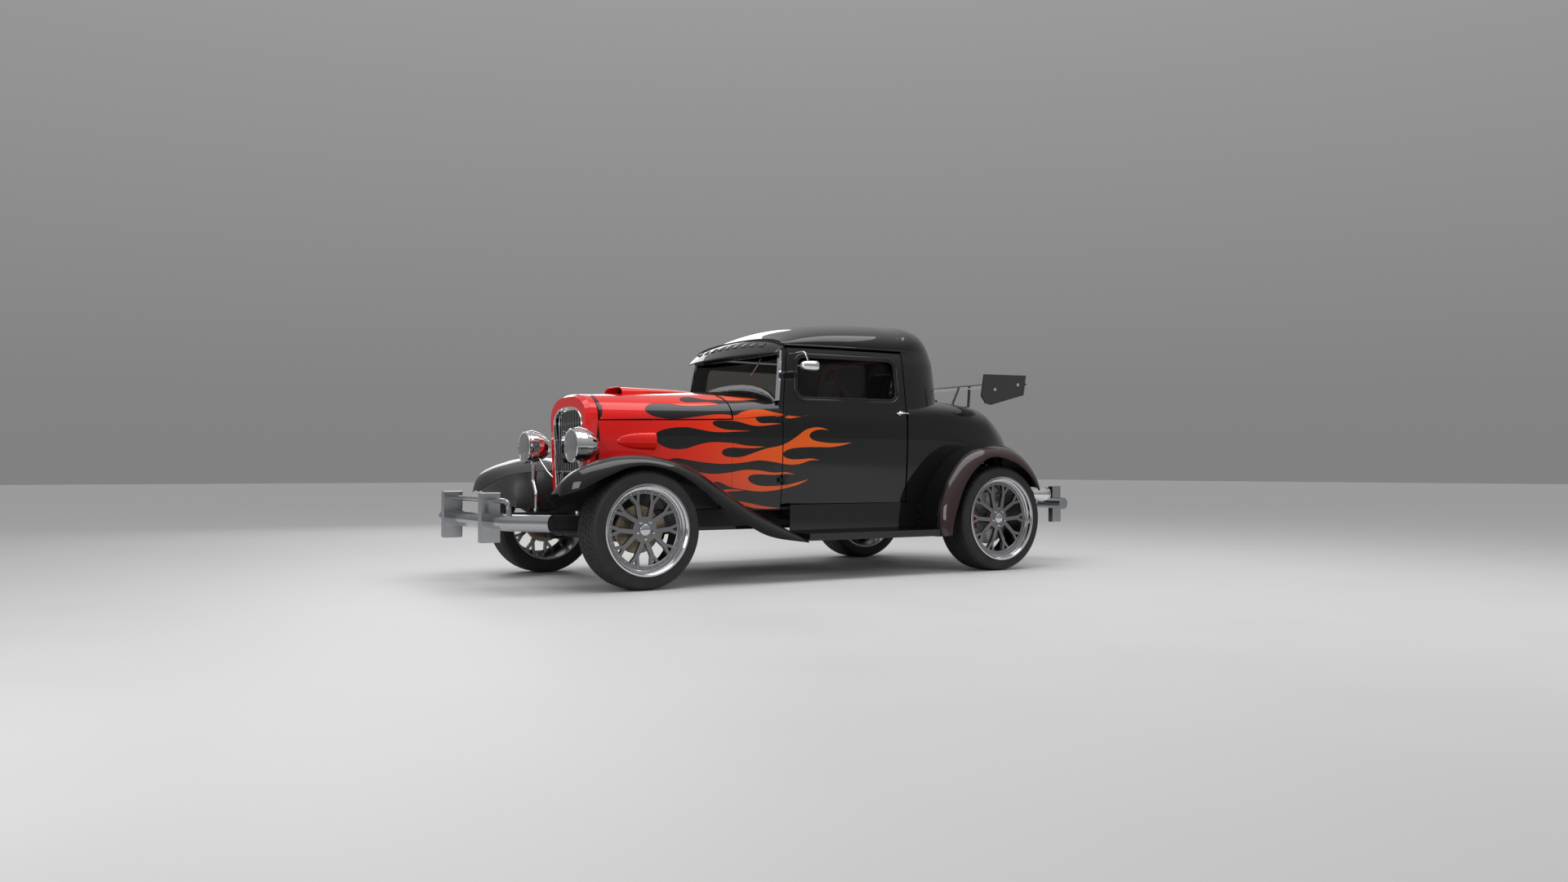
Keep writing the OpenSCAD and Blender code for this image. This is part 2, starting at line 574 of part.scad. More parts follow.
// The windshield leans with the front edge of the door
module leaning() {
    multmatrix([[1, 0, -seam_lean, door_front_x + pillar_depth + fit + seam_lean * belt_z],
        [0, 1, 0, 0], [0, 0, 1, 0], [0, 0, 0, 1]]) rotate([90, 0, 90]) children();
}
module shield_outline(grow) {
    top = roof_edge_z - 40 - fit + grow;
    low = crease(cowl_rear_x) + 60;
    w = plan(cowl_rear_x) + grow;
    arc = hood_arch(cowl_rear_x, -fit);
    foot = [for (j = [12:-1:2]) [arc[j][1] * (w / plan(cowl_rear_x)), arc[j][2] - grow]];
    edge = [for (z = steps(low + 40, top, 3)) [side_y(seam_x(z) + pillar_depth, z) - 4 + grow, z]];
    polygon(concat(foot, edge, [for (k = [3:-1:0]) [-edge[k][0], edge[k][1]]]));
}
module windshield_frame() {
    color("silver") place() leaning() linear_extrude(shield_t) difference() {
        shield_outline(0);
        shield_outline(-shield_rail);
    }
}
module cabin_glass() {
    color("lightgray", 0.5) place() {
        leaning() translate([0, 0, shield_t / 2]) linear_extrude(glass)
            offset(delta = -fit) shield_outline(-shield_rail);
        translate([cab_back_x + 37, 0, 0]) rotate([90, 0, 90]) linear_extrude(glass)
            rounded(rear_window_w - 2 * fit, rear_window_h - 2 * fit, 60, rear_window_z);
    }
}
module rounded(w, h, r, z) {
    translate([0, z]) hull() for (a = [-1, 1], b = [-1, 1])
        translate([a * (w / 2 - r), b * (h / 2 - r)]) circle(r, $fn = 32);
}
module sun_visor() {
    color("black") place() stack([for (y = steps(-body_half_w + 110, body_half_w - 110, 8))
        let(drop = 46 * pow(y / body_half_w, 2), x = header_x + header_depth + fit)
        [[x + 118 - 1.2 * drop, y, roof_edge_z - 46 - drop * 0.3],
            [x + 112 - 1.2 * drop, y, roof_edge_z - 54 - drop * 0.3],
            [x, y, roof_edge_z - 30], [x, y, roof_z - 162 - 1.6 * drop]]]);
}
module front_fender_left() {
    color("black") place() front_fender();
}
module front_fender_right() {
    color("black") place() mirror([0, 1, 0]) front_fender();
}
module rear_fender_left() {
    color("black") place() rear_fender();
}
module rear_fender_right() {
    color("black") place() mirror([0, 1, 0]) rear_fender();
}
board_low_z = 252;
board_t = 44;
module running_boards() {
    rear_x = rear_axle_x + (rear_tyre_r + crest_r[0][1]) * cos(crest_r[0][0]) + 1.9;
    front_x = front_axle_x - 1106 - fit;
    valance_y = body_half_w - 48;
    rail_out_y = rail_y + rail_w / 2 + fit;
    color("black") place() both() {
        translate([rear_x, valance_y + 8, board_low_z])
            cube([front_x - rear_x, board_out_y - valance_y - 8, board_t]);
        // Valance up to the body
        translate([rear_x + 6, valance_y, board_low_z])
            cube([front_x - rear_x - 6, 8, sill_z - shut_gap - board_low_z]);
        // Brackets from the frame
        for (x = [rear_x + 80, front_x - 140])
            translate([x, rail_out_y, rail_low_z + 40]) cube([40, valance_y - rail_out_y, 30]);
    }
}
lamp_x = front_axle_x + 268;
lamp_y = 379;
lamp_z = 837;
stem_r = 14;
module headlights() {
    color("silver") place() {
        both() translate([lamp_x, lamp_y, lamp_z]) {
            rotate([0, -90, 0]) rotate_extrude() polygon(concat(
                [[0, 0], [headlight_r - 14, 0], [headlight_r, 8], [headlight_r, 26]],
                [for (a = [15:15:75]) [headlight_r * cos(a), 26 + 150 * sin(a)]], [[0, 176]]));
        }
        // Stems that crank inward and down to the frame horns, with a ball at each bend
        both() {
            x = lamp_x - 60;
            knee = [x, lamp_y, 620];
            ankle = [x, rail_y, 540];
            bar([x, lamp_y, lamp_z - headlight_r + 20], knee, stem_r);
            translate(knee) sphere(stem_r + 3);
            bar(knee, ankle, stem_r);
            translate(ankle) sphere(stem_r + 3);
            bar(ankle, [x, rail_y, rail_top_z - 20 + fit], stem_r);
        }
    }
}
module front_bumper() {
    x = front_axle_x + front_reach - bumper_r - 36;
    z = 395;
    color("silver") place() {
        pipe(bent([[x - 168, 800, z], [x, 575, z], [x, -575, z], [x - 168, -800, z]], 90), bumper_r, 16);
        pipe(bent([[x - 12, 560, z + 30], [x - 10, 555, 512], [x + 6, 330, 520], [x + 6, -330, 520],
            [x - 10, -555, 512], [x - 12, -560, z + 30]], 45), 16);
        both() translate([x - 34, 316, 276]) cube([36 + 34 + bumper_r, 46, 284]);
    }
}
module rear_bumper() {
    x = rear_axle_x - rear_reach + bumper_r;
    color("silver") place() {
        bar([x + 20, -560, 440], [x + 20, 560, 440], bumper_r - 4);
        both() translate([x - bumper_r, 420, 297]) cube([2 * bumper_r - 10, 46, 271]);
        both() bar([x + 20, rail_y, kick_z + 14], [frame_rear_x - fit, rail_y, kick_z + 14], 18);
    }
}
module tail_lamps() {
    color("silver") place() both() {
        x = rear_axle_x - 474;
        translate([x, 700, 515]) rotate([0, -90, 0]) rotate_extrude()
            polygon([[0, 0], [30, 0], [50, 110], [46, 146], [0, 150]]);
        bar([x - 50, 700, kick_z + 20], [x - 50, rail_y + rail_w / 2 + fit, kick_z + 20], 12);
        translate([x - 50, 700, kick_z + 20]) cylinder(h = 60, r = 10);
    }
}
module seat(side) {
    x = door_rear_x + 60;
    translate([x, side * 300, 0]) {
        stack([for (k = [[0, 0, 200], [1, 20, 235], [2, 140, 230]]) let(z = floor_z + fit + k[1], h = k[2])
            [for (p = [[0, -1], [520, -1], [520, 1], [0, 1]]) [p[0], p[1] * h, z]]]);
        stack([for (k = [[0, 235, 140], [60, 240, 150], [420, 225, 130], [560, 150, 90], [780, 130, 70]])
            let(z = floor_z + 140 + 2 * fit + k[0], lean = k[0] * 0.22)
            [for (p = [[0, -1], [1, -1], [1, 1], [0, 1]]) [p[0] * k[2] - lean, p[1] * k[1], z]]]);
    }
}
module seat_left() {
    color("firebrick") place() seat(1);
}
module seat_right() {
    color("firebrick") place() seat(-1);
}
column_r = 17;
column_a = [door_front_x + 60, 300, 870];
column_b = [door_front_x - 190, 300, 995];
// Arch of the cowl at a place between two of its stations, so that it lies along the facets
function cowl_arch(x, inset) =
    let(t = (x - cowl_xs[4]) / (cowl_xs[3] - cowl_xs[4]), a = hood_arch(cowl_xs[4], inset),
        b = hood_arch(cowl_xs[3], inset)) [for (j = [0:14]) a[j] * (1 - t) + b[j] * t];
// Inner face of the cowl side at a place between the same two stations
function cowl_side(x, z) =
    let(t = (x - cowl_xs[4]) / (cowl_xs[3] - cowl_xs[4]),
        y = [for (k = [4, 3]) let(c = side_column(cowl_xs[k], rail_top_z, crease(cowl_xs[k]), panel))
            lookup(z, [for (p = c) [p[2], p[1]]])])
    y[0] * (1 - t) + y[1] * t;
module dashboard() {
    low = 860;
    high = crease(cowl_rear_x) - 50;
    color("black") place() difference() {
        stack([for (x = [door_front_x + pillar_depth + 2, cowl_xs[3]])
            let(arch = cowl_arch(x, panel + 2), a = cowl_side(x, high) - 2 * fit,
                b = cowl_side(x, low) - 2 * fit)
            concat([for (j = [1:13]) arch[j]], [[x, -a, high], [x, -b, low], [x, b, low], [x, a, high]])]);
        bar(column_a, column_b, column_r + fit);
    }
}
module steering_wheel() {
    v = column_b - column_a;
    color("black") place() translate(column_b) rotate([0, -atan2(-v[0], v[2]), 0]) {
        rotate_extrude() translate([178, 0]) circle(15);
        translate([0, 0, -30]) cylinder(h = 40, r = 34);
        for (a = [0, 120, 240]) rotate(a) translate([20, -16, -6]) cube([148, 32, 10]);
        translate([0, 0, -norm(v) + 4]) cylinder(h = norm(v) - 30, r = column_r);
    }
}
module roll_cage() {
    r = 22;
    x = door_rear_x - 144;
    w = body_half_w - 130;
    top = roof_edge_z - 30;
    color("firebrick") place() {
        pipe(bent([[x, w, floor_z + fit], [x, w - 10, window_low_z], [x, w - 60, top], [x, 60 - w, top],
            [x, 10 - w, window_low_z], [x, -w, floor_z + fit]], 90), r);
        bar([x, w - 20, window_low_z], [x, 20 - w, window_low_z], r - 3);
        both() bar([x - 8, w - 90, top], [cab_back_x + 160, 330, window_low_z - 60], r - 3);
    }
}
// ---------- doors ----------
function door_x(s, z) = seam_x(z) + (door_rear_x + door_gap_rear - seam_x(z)) * s;
function door_grid(inset) = [for (s = steps(0, 1, 6))
    [for (z = concat(steps(sill_z, belt_z, 3), steps(belt_z + 60, door_top_z, 4)))
        let(x = door_x(s, z)) [x, side_y(x, z) - inset, z]]];
module door() {
    difference() {
        sheet(door_grid(0), door_grid(wall));
        translate([0, body_half_w + 50, 0]) rotate([90, 0, 0]) linear_extrude(300) window_outline(0);
    }
    for (z = hinge_heights) translate([hinge_x, hinge_y, z]) {
        translate([0, 0, -27]) cylinder(h = 54, r = hinge_pin_r);
        for (k = [-27, 16]) translate([0, 0, k]) {
            cylinder(h = 11, r = 8);
            translate([-30, side_y(hinge_x, z) - hinge_y - 4, 0])
                cube([30, hinge_y - side_y(hinge_x, z) + 4, 11]);
        }
    }
}
module window_outline(grow) {
    r = 55;
    front = door_front_x - 105;
    rear = door_rear_x + 78;
    hull() for (p = [[front - 25, window_top_z], [front, window_low_z], [rear, window_low_z],
        [rear, window_top_z]])
        translate([p[0] + (p[0] > (front + rear) / 2 ? -r : r), p[1] + (p[1] > window_low_z ? -r : r)])
            circle(r + grow, $fn = 32);
}
module door_glass() {
    intersection() {
        sheet(door_grid(wall / 2 - glass / 2), door_grid(wall / 2 + glass / 2));
        translate([0, body_half_w + 50, 0]) rotate([90, 0, 0]) linear_extrude(300) window_outline(-fit);
    }
}
module mirror_arm() {
    x = door_front_x - 80;
    foot_z = window_top_z + 16;
    pipe(bent([[x, side_y(x, foot_z) - 8, foot_z], [x - 10, body_half_w + 50, foot_z + 4],
        [x - 34, body_half_w + 66, 1360]], 30), 7, 8);
    translate([x - 90, body_half_w + 66, 1352]) rotate([0, 90, 0]) cylinder(h = 120, r1 = 36, r2 = 16);
}
module handle() {
    x = door_rear_x + 60;
    translate([x, body_half_w - 8, 1072]) rotate([-90, 0, 0]) cylinder(h = 30, r = 12);
    translate([x - 50, body_half_w + 16, 1064]) cube([100, 12, 16]);
}
module door_left() {
    color("black") place() {
        door();
        mirror_arm();
        handle();
    }
}
module door_right() {
    color("black") place() mirror([0, 1, 0]) {
        door();
        handle();
    }
}
module door_glass_left() {
    color("lightgray", 0.5) place() door_glass();
}
module door_glass_right() {
    color("lightgray", 0.5) place() mirror([0, 1, 0]) door_glass();
}
module hood_top() {
    xs = steps(shell_rear_x - shut_gap - 3, cowl_x + shut_gap + 3, 7);
    // Low point of an arm, which swings clear of the front edge of the cowl
    elbow = [cowl_x - 33, hood_hinge_z - 164];
    color("red") place() {
        sheet([for (x = xs) hood_arch(x, 0)], [for (x = xs) hood_arch(x, panel)]);
        scoop();
        // Cranked hinge arms that pass in front of the cowl
        both() {
            translate([0, hood_hinge_y + 16, 0]) rotate([90, 0, 0]) linear_extrude(10) {
                translate([hood_hinge_x, hood_hinge_z]) circle(9);
                link([hood_hinge_x, hood_hinge_z], elbow, 8);
                translate(elbow) circle(8);
                link(elbow, [cowl_x + 48, hood_z(cowl_x + 48) - 12], 8);
            }
            translate([hood_hinge_x, hood_hinge_y - 8, hood_hinge_z]) rotate([-90, 0, 0])
                cylinder(h = 20, r = hinge_pin_r);
        }
    }
}
// Flat link between two points of a plane
module link(a, b, r) {
    n = r * [a[1] - b[1], b[0] - a[0]] / norm(b - a);
    polygon([a + n, a - n, b - n, b + n]);
}
module wing_struts(r) {
    both() translate([0, 280, 0]) {
        bar([rear_axle_x - 154, 0, 1300], [rear_axle_x - 86, 0, deck_z(rear_axle_x - 86) - 20], r);
        bar([rear_axle_x - 258, 0, 1290], [rear_axle_x - 246, 0, deck_z(rear_axle_x - 246) - 30], r);
    }
}
module rear_wing() {
    chord = 250;
    color("black") place() {
        translate([rear_axle_x - 144, 0, 1305]) rotate([90, 0, 0])
            linear_extrude(2 * wing_half_w, center = true)
            polygon(concat([for (a = [0:20:180]) [-chord / 2 + chord / 2 * cos(a), 22 * sin(a)]],
                [for (a = [200:20:340]) [-chord / 2 + chord / 2 * cos(a), 8 * sin(a)]]));
        both() translate([0, wing_half_w + 12, 0]) rotate([90, 0, 0]) linear_extrude(12)
            polygon([[rear_axle_x + 24, 1363], [rear_axle_x - 375, 1370], [rear_axle_x - 351, 1228],
                [rear_axle_x - 40, 1150], [rear_axle_x + 10, 1160], [rear_axle_x + 51, 1210]]);
        wing_struts(strut_r);
    }
}
strut_r = 10;
// ---------- wheels ----------
// How far the bead seat of a rim lies inside its lip
seat_r = 4.3;
// Depth of the spokes behind the edge of the tyre, and the place and thickness of spokes and disc
spoke_in = 46;
spoke_t = 24;
disc_low = -40;
disc_t = 22;
// One of five pairs of arms, each of which splits in two on its way to the barrel
module spoke_pair(r) {
    for (side = [-1, 1]) {
        root = [62 * cos(8 * side), 62 * sin(8 * side)];
        fork = (r - 114) * [cos(18 * side), sin(18 * side)];
        link(root, fork, 13);
        translate(fork) circle(13);
        for (a = [9, 27]) link(fork, (r - rim_wall - 2) * [cos(a * side), sin(a * side)], 9);
    }
}
module rim(r, w, disc_r) {
    rotate([-90, 0, 0]) {
        rotate_extrude($fn = 96) polygon([[r - rim_wall - 6, -w / 2 + 10], [r - seat_r, -w / 2 + 10],
            [r - seat_r, w / 2 - 10], [r, w / 2 - 10], [r, w / 2 - 2], [r - 8, w / 2 - 2],
            [r - rim_wall - 6, w / 2 - 14]]);
        translate([0, 0, w / 2 - spoke_in - spoke_t]) linear_extrude(spoke_t) difference() {
            union() {
                circle(76);
                for (k = [0:4]) rotate(90 + 72 * k) spoke_pair(r);
            }
            circle(spindle_r + run);
        }
        translate([0, 0, disc_low]) linear_extrude(disc_t) difference() {
            circle(disc_r);
            circle(spindle_r + run);
        }
        // Hat of the brake disc
        hat_low = disc_low + disc_t - 0.1;
        translate([0, 0, hat_low]) linear_extrude(w / 2 - spoke_in - spoke_t - hat_low + 0.1) difference() {
            circle(80);
            circle(spindle_r + run);
        }
    }
}
// Caliper over the front edge of the disc, on a bracket that starts at the spindle
module caliper(disc_r) {
    jaw = 18;
    low = disc_low - jaw - 6;
    outer = disc_r + 24;
    rotate([-90, 0, 0]) {
        for (z = [low, disc_low + disc_t + 6]) translate([0, 0, z]) linear_extrude(jaw)
            caliper_arc(disc_r - 48, outer);
        translate([0, 0, disc_low - 6.1]) linear_extrude(disc_t + 12.2) caliper_arc(disc_r + 7, outer);
        translate([0, 0, low]) linear_extrude(12) translate([10, -34]) square([disc_r - 50, 68]);
    }
}
module caliper_arc(inner, outer) {
    intersection() {
        difference() {
            circle(outer);
            circle(inner);
        }
        polygon([[0, 0], [outer * 1.2, -outer * 0.62], [outer * 1.2, outer * 0.62]]);
    }
}
module tyre(r, w, rim_r) {
    bead = rim_r - seat_r + 0.4;
    shoulder = 26;
    flank = r - 34;
    rotate([-90, 0, 0]) rotate_extrude($fn = 96) polygon(concat([[bead, -w / 2 + 10], [bead, w / 2 - 11.3]],
        [for (a = [0:30:90]) [flank + shoulder * sin(a), w / 2 - shoulder * (1 - cos(a))]],
        [[r, w / 2 - 50], [r, -w / 2 + 50]],
        [for (a = [90:-30:0]) [flank + shoulder * sin(a), -w / 2 + shoulder * (1 - cos(a))]]));
}
module corner(x, y, r, side) {
    place() translate([x, side * y, r]) mirror([0, side < 0 ? 1 : 0, 0]) children();
}
module front_corner(side) {
    corner(front_axle_x, front_wheel_y, front_tyre_r, side) children();
}
module rear_corner(side) {
    corner(rear_axle_x, rear_wheel_y, rear_tyre_r, side) children();
}
module rim_front_left() {
    color("gray") front_corner(1) rim(front_rim_r, front_tyre_w, front_disc_r);
}
module rim_front_right() {
    color("gray") front_corner(-1) rim(front_rim_r, front_tyre_w, front_disc_r);
}
module rim_rear_left() {
    color("gray") rear_corner(1) rim(rear_rim_r, rear_tyre_w, rear_disc_r);
}
module rim_rear_right() {
    color("gray") rear_corner(-1) rim(rear_rim_r, rear_tyre_w, rear_disc_r);
}
module tyre_front_left() {
    color("black") front_corner(1) tyre(front_tyre_r, front_tyre_w, front_rim_r);
}
module tyre_front_right() {
    color("black") front_corner(-1) tyre(front_tyre_r, front_tyre_w, front_rim_r);
}
module tyre_rear_left() {
    color("black") rear_corner(1) tyre(rear_tyre_r, rear_tyre_w, rear_rim_r);
}
module tyre_rear_right() {
    color("black") rear_corner(-1) tyre(rear_tyre_r, rear_tyre_w, rear_rim_r);
}
module knuckle() {
    y = front_wheel_y - 130;
    translate([front_axle_x, y, front_tyre_r - 60]) {
        translate([0, 0, -50]) cylinder(h = 110, r = king_pin_r);
        translate([0, 0, 31]) cylinder(h = 60, r = 32);
        translate([0, 0, -50]) cylinder(h = 18, r = 32);
    }
    translate([front_axle_x, y, front_tyre_r]) rotate([-90, 0, 0]) cylinder(h = 150, r = spindle_r);
    translate([front_axle_x, front_wheel_y, front_tyre_r]) rotate([0, 180, 0]) caliper(front_disc_r);
    // Steering arm
    bar([front_axle_x, y, front_tyre_r - 108], [front_axle_x - 150, y - 30, front_tyre_r - 108], 10);
}
module knuckle_left() {
    color("dimgray") place() knuckle();
}
module knuckle_right() {
    color("dimgray") place() mirror([0, 1, 0]) knuckle();
}
frame_rails();
engine_block();
floor_pan();
front_axle();
rear_axle();
grille_shell();
grille_bars();
hood_sides();
cowl();
roof_shell();
rear_body();
windshield_frame();
cabin_glass();
sun_visor();
front_fender_left();
front_fender_right();
rear_fender_left();
rear_fender_right();
running_boards();
headlights();
front_bumper();
rear_bumper();
tail_lamps();
seat_left();
seat_right();
dashboard();
roll_cage();
steering_wheel();
door_left();
door_right();
door_glass_left();
door_glass_right();
trunk_lid();
rear_wing();
hood_top();
knuckle_left();
knuckle_right();
rim_front_left();
rim_front_right();
rim_rear_left();
rim_rear_right();
tyre_front_left();
tyre_front_right();
tyre_rear_left();
tyre_rear_right();
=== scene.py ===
import math
import bpy
import bmesh
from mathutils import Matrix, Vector
from mathutils.geometry import delaunay_2d_cdt

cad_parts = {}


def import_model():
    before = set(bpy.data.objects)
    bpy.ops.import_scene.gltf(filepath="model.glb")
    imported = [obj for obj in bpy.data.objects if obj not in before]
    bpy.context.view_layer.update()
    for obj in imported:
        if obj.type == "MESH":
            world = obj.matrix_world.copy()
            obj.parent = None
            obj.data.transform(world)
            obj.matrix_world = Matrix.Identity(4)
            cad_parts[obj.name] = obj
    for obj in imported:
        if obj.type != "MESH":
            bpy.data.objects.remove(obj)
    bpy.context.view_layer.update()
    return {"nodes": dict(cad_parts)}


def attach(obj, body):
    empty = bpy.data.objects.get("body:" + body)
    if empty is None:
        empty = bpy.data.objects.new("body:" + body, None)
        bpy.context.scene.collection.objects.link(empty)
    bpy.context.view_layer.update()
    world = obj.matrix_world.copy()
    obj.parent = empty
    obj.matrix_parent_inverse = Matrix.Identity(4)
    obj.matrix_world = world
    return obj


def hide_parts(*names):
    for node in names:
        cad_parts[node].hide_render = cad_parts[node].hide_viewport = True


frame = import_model()
nodes = frame["nodes"]
scene = bpy.context.scene
sin, cos, pi = math.sin, math.cos, math.pi

# ---------------------------------------------------------------- camera, light, stage
SHIFT_X = 100  # the shapes below are written in mm with x = 0 midway between the axles


def V(x, y, z):
    """A point of the car in mm, as metres in the frame."""
    return Vector(((x + SHIFT_X) / 1000, y / 1000, z / 1000))


def camera():
    data = bpy.data.cameras.new("camera")
    data.sensor_width = 36
    data.lens = 27.96
    data.clip_end = 200
    obj = bpy.data.objects.new("camera", data)
    obj.location = (4.604, 7.129, 0.691)
    yaw, pitch = math.radians(-123.07), math.radians(1.37)
    aim = Vector((cos(yaw) * cos(pitch), sin(yaw) * cos(pitch), sin(pitch)))
    obj.rotation_euler = aim.to_track_quat("-Z", "Y").to_euler()
    scene.collection.objects.link(obj)
    scene.camera = obj


def area_light(name, where, aim, size, power, color=(1, 1, 1)):
    data = bpy.data.lights.new(name, "AREA")
    data.shape = "RECTANGLE"
    data.size, data.size_y = size
    data.energy = power
    data.color = color
    obj = bpy.data.objects.new(name, data)
    obj.location = where
    obj.rotation_euler = (Vector(aim) - Vector(where)).to_track_quat("-Z", "Y").to_euler()
    scene.collection.objects.link(obj)
    return obj


def world():
    w = bpy.data.worlds.new("studio")
    scene.world = w
    w.use_nodes = True
    t = w.node_tree
    back = t.nodes["Background"]
    coord = t.nodes.new("ShaderNodeTexCoord")
    split = t.nodes.new("ShaderNodeSeparateXYZ")
    ramp = t.nodes.new("ShaderNodeValToRGB")
    t.links.new(coord.outputs["Generated"], split.inputs[0])
    t.links.new(split.outputs["Z"], ramp.inputs[0])
    stops = [(0.0, 0.40), (0.06, 0.41), (0.30, 0.55), (0.62, 0.80), (1.0, 0.95)]
    ramp.color_ramp.elements[0].position = stops[0][0]
    ramp.color_ramp.elements[1].position = stops[-1][0]
    for pos, _ in stops[1:-1]:
        ramp.color_ramp.elements.new(pos)
    for el, (pos, v) in zip(ramp.color_ramp.elements, stops):
        el.color = (v, v, v * 1.01, 1)
    t.links.new(ramp.outputs[0], back.inputs[0])
    back.inputs[1].default_value = 0.55


camera()
world()
scene.view_settings.view_transform = "Standard"
area_light("top", (0.2, 1.0, 5.6), (0, 0, 0.6), (7.0, 4.0), 190)
area_light("front", (6.5, 4.0, 2.6), (1.0, 0, 0.7), (3.0, 2.2), 80)
area_light("side", (-2.5, 7.5, 3.2), (-0.4, 0, 0.7), (4.5, 1.6), 90).visible_glossy = False
area_light("far", (-1.0, -7.0, 3.6), (0, 0, 0.8), (6.0, 2.0), 80)

# ---------------------------------------------------------------- materials
made = {}


def node_material(name, color, metallic=0.0, rough=0.5, coat=0.0, coat_rough=0.03, **more):
    m = bpy.data.materials.new(name)
    m.use_nodes = True
    b = m.node_tree.nodes["Principled BSDF"]
    b.inputs["Base Color"].default_value = (*color, 1)
    b.inputs["Metallic"].default_value = metallic
    b.inputs["Roughness"].default_value = rough
    b.inputs["Coat Weight"].default_value = coat
    b.inputs["Coat Roughness"].default_value = coat_rough
    for key, value in more.items():
        b.inputs[key.replace("_", " ")].default_value = value
    made[name] = m
    return m


def texture(m, kind, scale, stretch, detail):
    """Output of a noise, voronoi or wave pattern in object space, at a scale in 1/m."""
    t = m.node_tree
    coord = t.nodes.new("ShaderNodeTexCoord")
    mapping = t.nodes.new("ShaderNodeMapping")
    mapping.inputs["Scale"].default_value = stretch
    t.links.new(coord.outputs["Object"], mapping.inputs[0])
    tex = t.nodes.new("ShaderNodeTex" + kind.title())
    tex.inputs["Scale"].default_value = scale
    if kind == "noise":
        tex.inputs["Detail"].default_value = detail
    t.links.new(mapping.outputs[0], tex.inputs["Vector"])
    return tex.outputs["Distance" if kind == "voronoi" else "Fac"]


def grain(m, scale, strength, distance=0.001, kind="noise", detail=6.0, stretch=(1, 1, 1), socket="Normal"):
    """Bump from a pattern."""
    t = m.node_tree
    bump = t.nodes.new("ShaderNodeBump")
    bump.inputs["Strength"].default_value = strength
    bump.inputs["Distance"].default_value = distance
    t.links.new(texture(m, kind, scale, stretch, detail), bump.inputs["Height"])
    t.links.new(bump.outputs[0], t.nodes["Principled BSDF"].inputs[socket])


def vary(m, socket, scale, low, high, detail=4.0):
    """A value or colour that wanders between two limits with a noise."""
    t = m.node_tree
    ramp = t.nodes.new("ShaderNodeValToRGB")
    for el, position, v in zip(ramp.color_ramp.elements, (0.3, 0.7), (low, high)):
        el.position = position
        el.color = (*v, 1) if isinstance(v, tuple) else (v, v, v, 1)
    t.links.new(texture(m, "noise", scale, (1, 1, 1), detail), ramp.inputs[0])
    t.links.new(ramp.outputs[0], t.nodes["Principled BSDF"].inputs[socket])


def surface(name, color, metallic, rough, wander=None, bump=None, bump_more=None, **more):
    """Material with an optional wandering value and an optional bump."""
    m = node_material(name, color, metallic, rough, **more)
    if wander:
        vary(m, *wander)
    if bump:
        grain(m, *bump, **(bump_more or {}))


def paint(name, color, rough=0.35):
    m = node_material(name, color, 0.0, rough, coat=1.0, coat_rough=0.02, Specular_IOR_Level=0.12)
    lift = tuple(min(1, c * 1.25 + 0.004) for c in color)
    vary(m, "Base Color", 900, color, lift, detail=1.0)
    grain(m, 60, 0.02, 0.0006, detail=2.0, socket="Coat Normal")
    return m


paint("black_paint", (0.002, 0.002, 0.0025), 0.4)
paint("flare_paint", (0.028, 0.012, 0.012), 0.35)
paint("cage_paint", (0.30, 0.012, 0.016), 0.35)

flame = paint("flame_paint", (0.9, 0.03, 0.0))
t = flame.node_tree
for link in list(t.nodes["Principled BSDF"].inputs["Base Color"].links):
    t.links.remove(link)
coord = t.nodes.new("ShaderNodeTexCoord")
split = t.nodes.new("ShaderNodeSeparateXYZ")
span = t.nodes.new("ShaderNodeMapRange")
span.inputs["From Min"].default_value = -0.15
span.inputs["From Max"].default_value = 1.35
ramp = t.nodes.new("ShaderNodeValToRGB")
ramp.color_ramp.elements.new(0.45)
ramp.color_ramp.elements.new(0.72)
tip_to_nose = [(0.72, 0.13, 0.004), (0.80, 0.085, 0.003), (0.86, 0.022, 0.002), (0.80, 0.004, 0.002)]
for el, col in zip(ramp.color_ramp.elements, tip_to_nose):
    el.color = (*col, 1)
t.links.new(coord.outputs["Object"], split.inputs[0])
t.links.new(split.outputs["X"], span.inputs["Value"])
t.links.new(span.outputs[0], ramp.inputs[0])
t.links.new(ramp.outputs[0], t.nodes["Principled BSDF"].inputs["Base Color"])

leather = dict(bump=(650, 0.28, 0.0009), bump_more={"kind": "voronoi"})
surface("chrome", (0.78, 0.79, 0.80), 1.0, 0.06, ("Roughness", 9, 0.03, 0.10))
surface("bumper_chrome", (0.46, 0.47, 0.49), 1.0, 0.17)
surface("gunmetal", (0.24, 0.24, 0.25), 1.0, 0.36, ("Roughness", 30, 0.26, 0.42), (900, 0.05, 0.0004),
        coat=0.3)
surface("polished", (0.62, 0.62, 0.64), 1.0, 0.12, ("Roughness", 120, 0.08, 0.18))
surface("disc_steel", (0.42, 0.42, 0.43), 1.0, 0.3, None, (40, 0.06, 0.0005), {"stretch": (1, 12, 1)})
surface("bronze", (0.36, 0.30, 0.21), 1.0, 0.42, None, (300, 0.08, 0.0005))
surface("caliper_red", (0.42, 0.01, 0.015), 0.0, 0.35, None, (300, 0.06, 0.0005), coat=0.6)
surface("tyre_rubber", (0.011, 0.011, 0.012), 0.0, 0.62,
        ("Base Color", 14, (0.008, 0.008, 0.009), (0.017, 0.017, 0.017)), (700, 0.15, 0.0006))
# Near-black rubber for the window seals; it is also the painted shade in the hood scoop's mouth, the visor's
# louvre slots and the brake discs' holes
surface("seal_rubber", (0.008, 0.008, 0.008), 0.0, 0.5, None, (500, 0.1, 0.0005))
surface("chassis_black", (0.012, 0.012, 0.013), 0.0, 0.42, ("Roughness", 12, 0.34, 0.55), (220, 0.1, 0.0008),
        coat=0.25, coat_rough=0.2)
surface("engine_iron", (0.09, 0.09, 0.09), 0.6, 0.6,
        ("Base Color", 20, (0.06, 0.06, 0.06), (0.12, 0.115, 0.11)), (160, 0.3, 0.002))
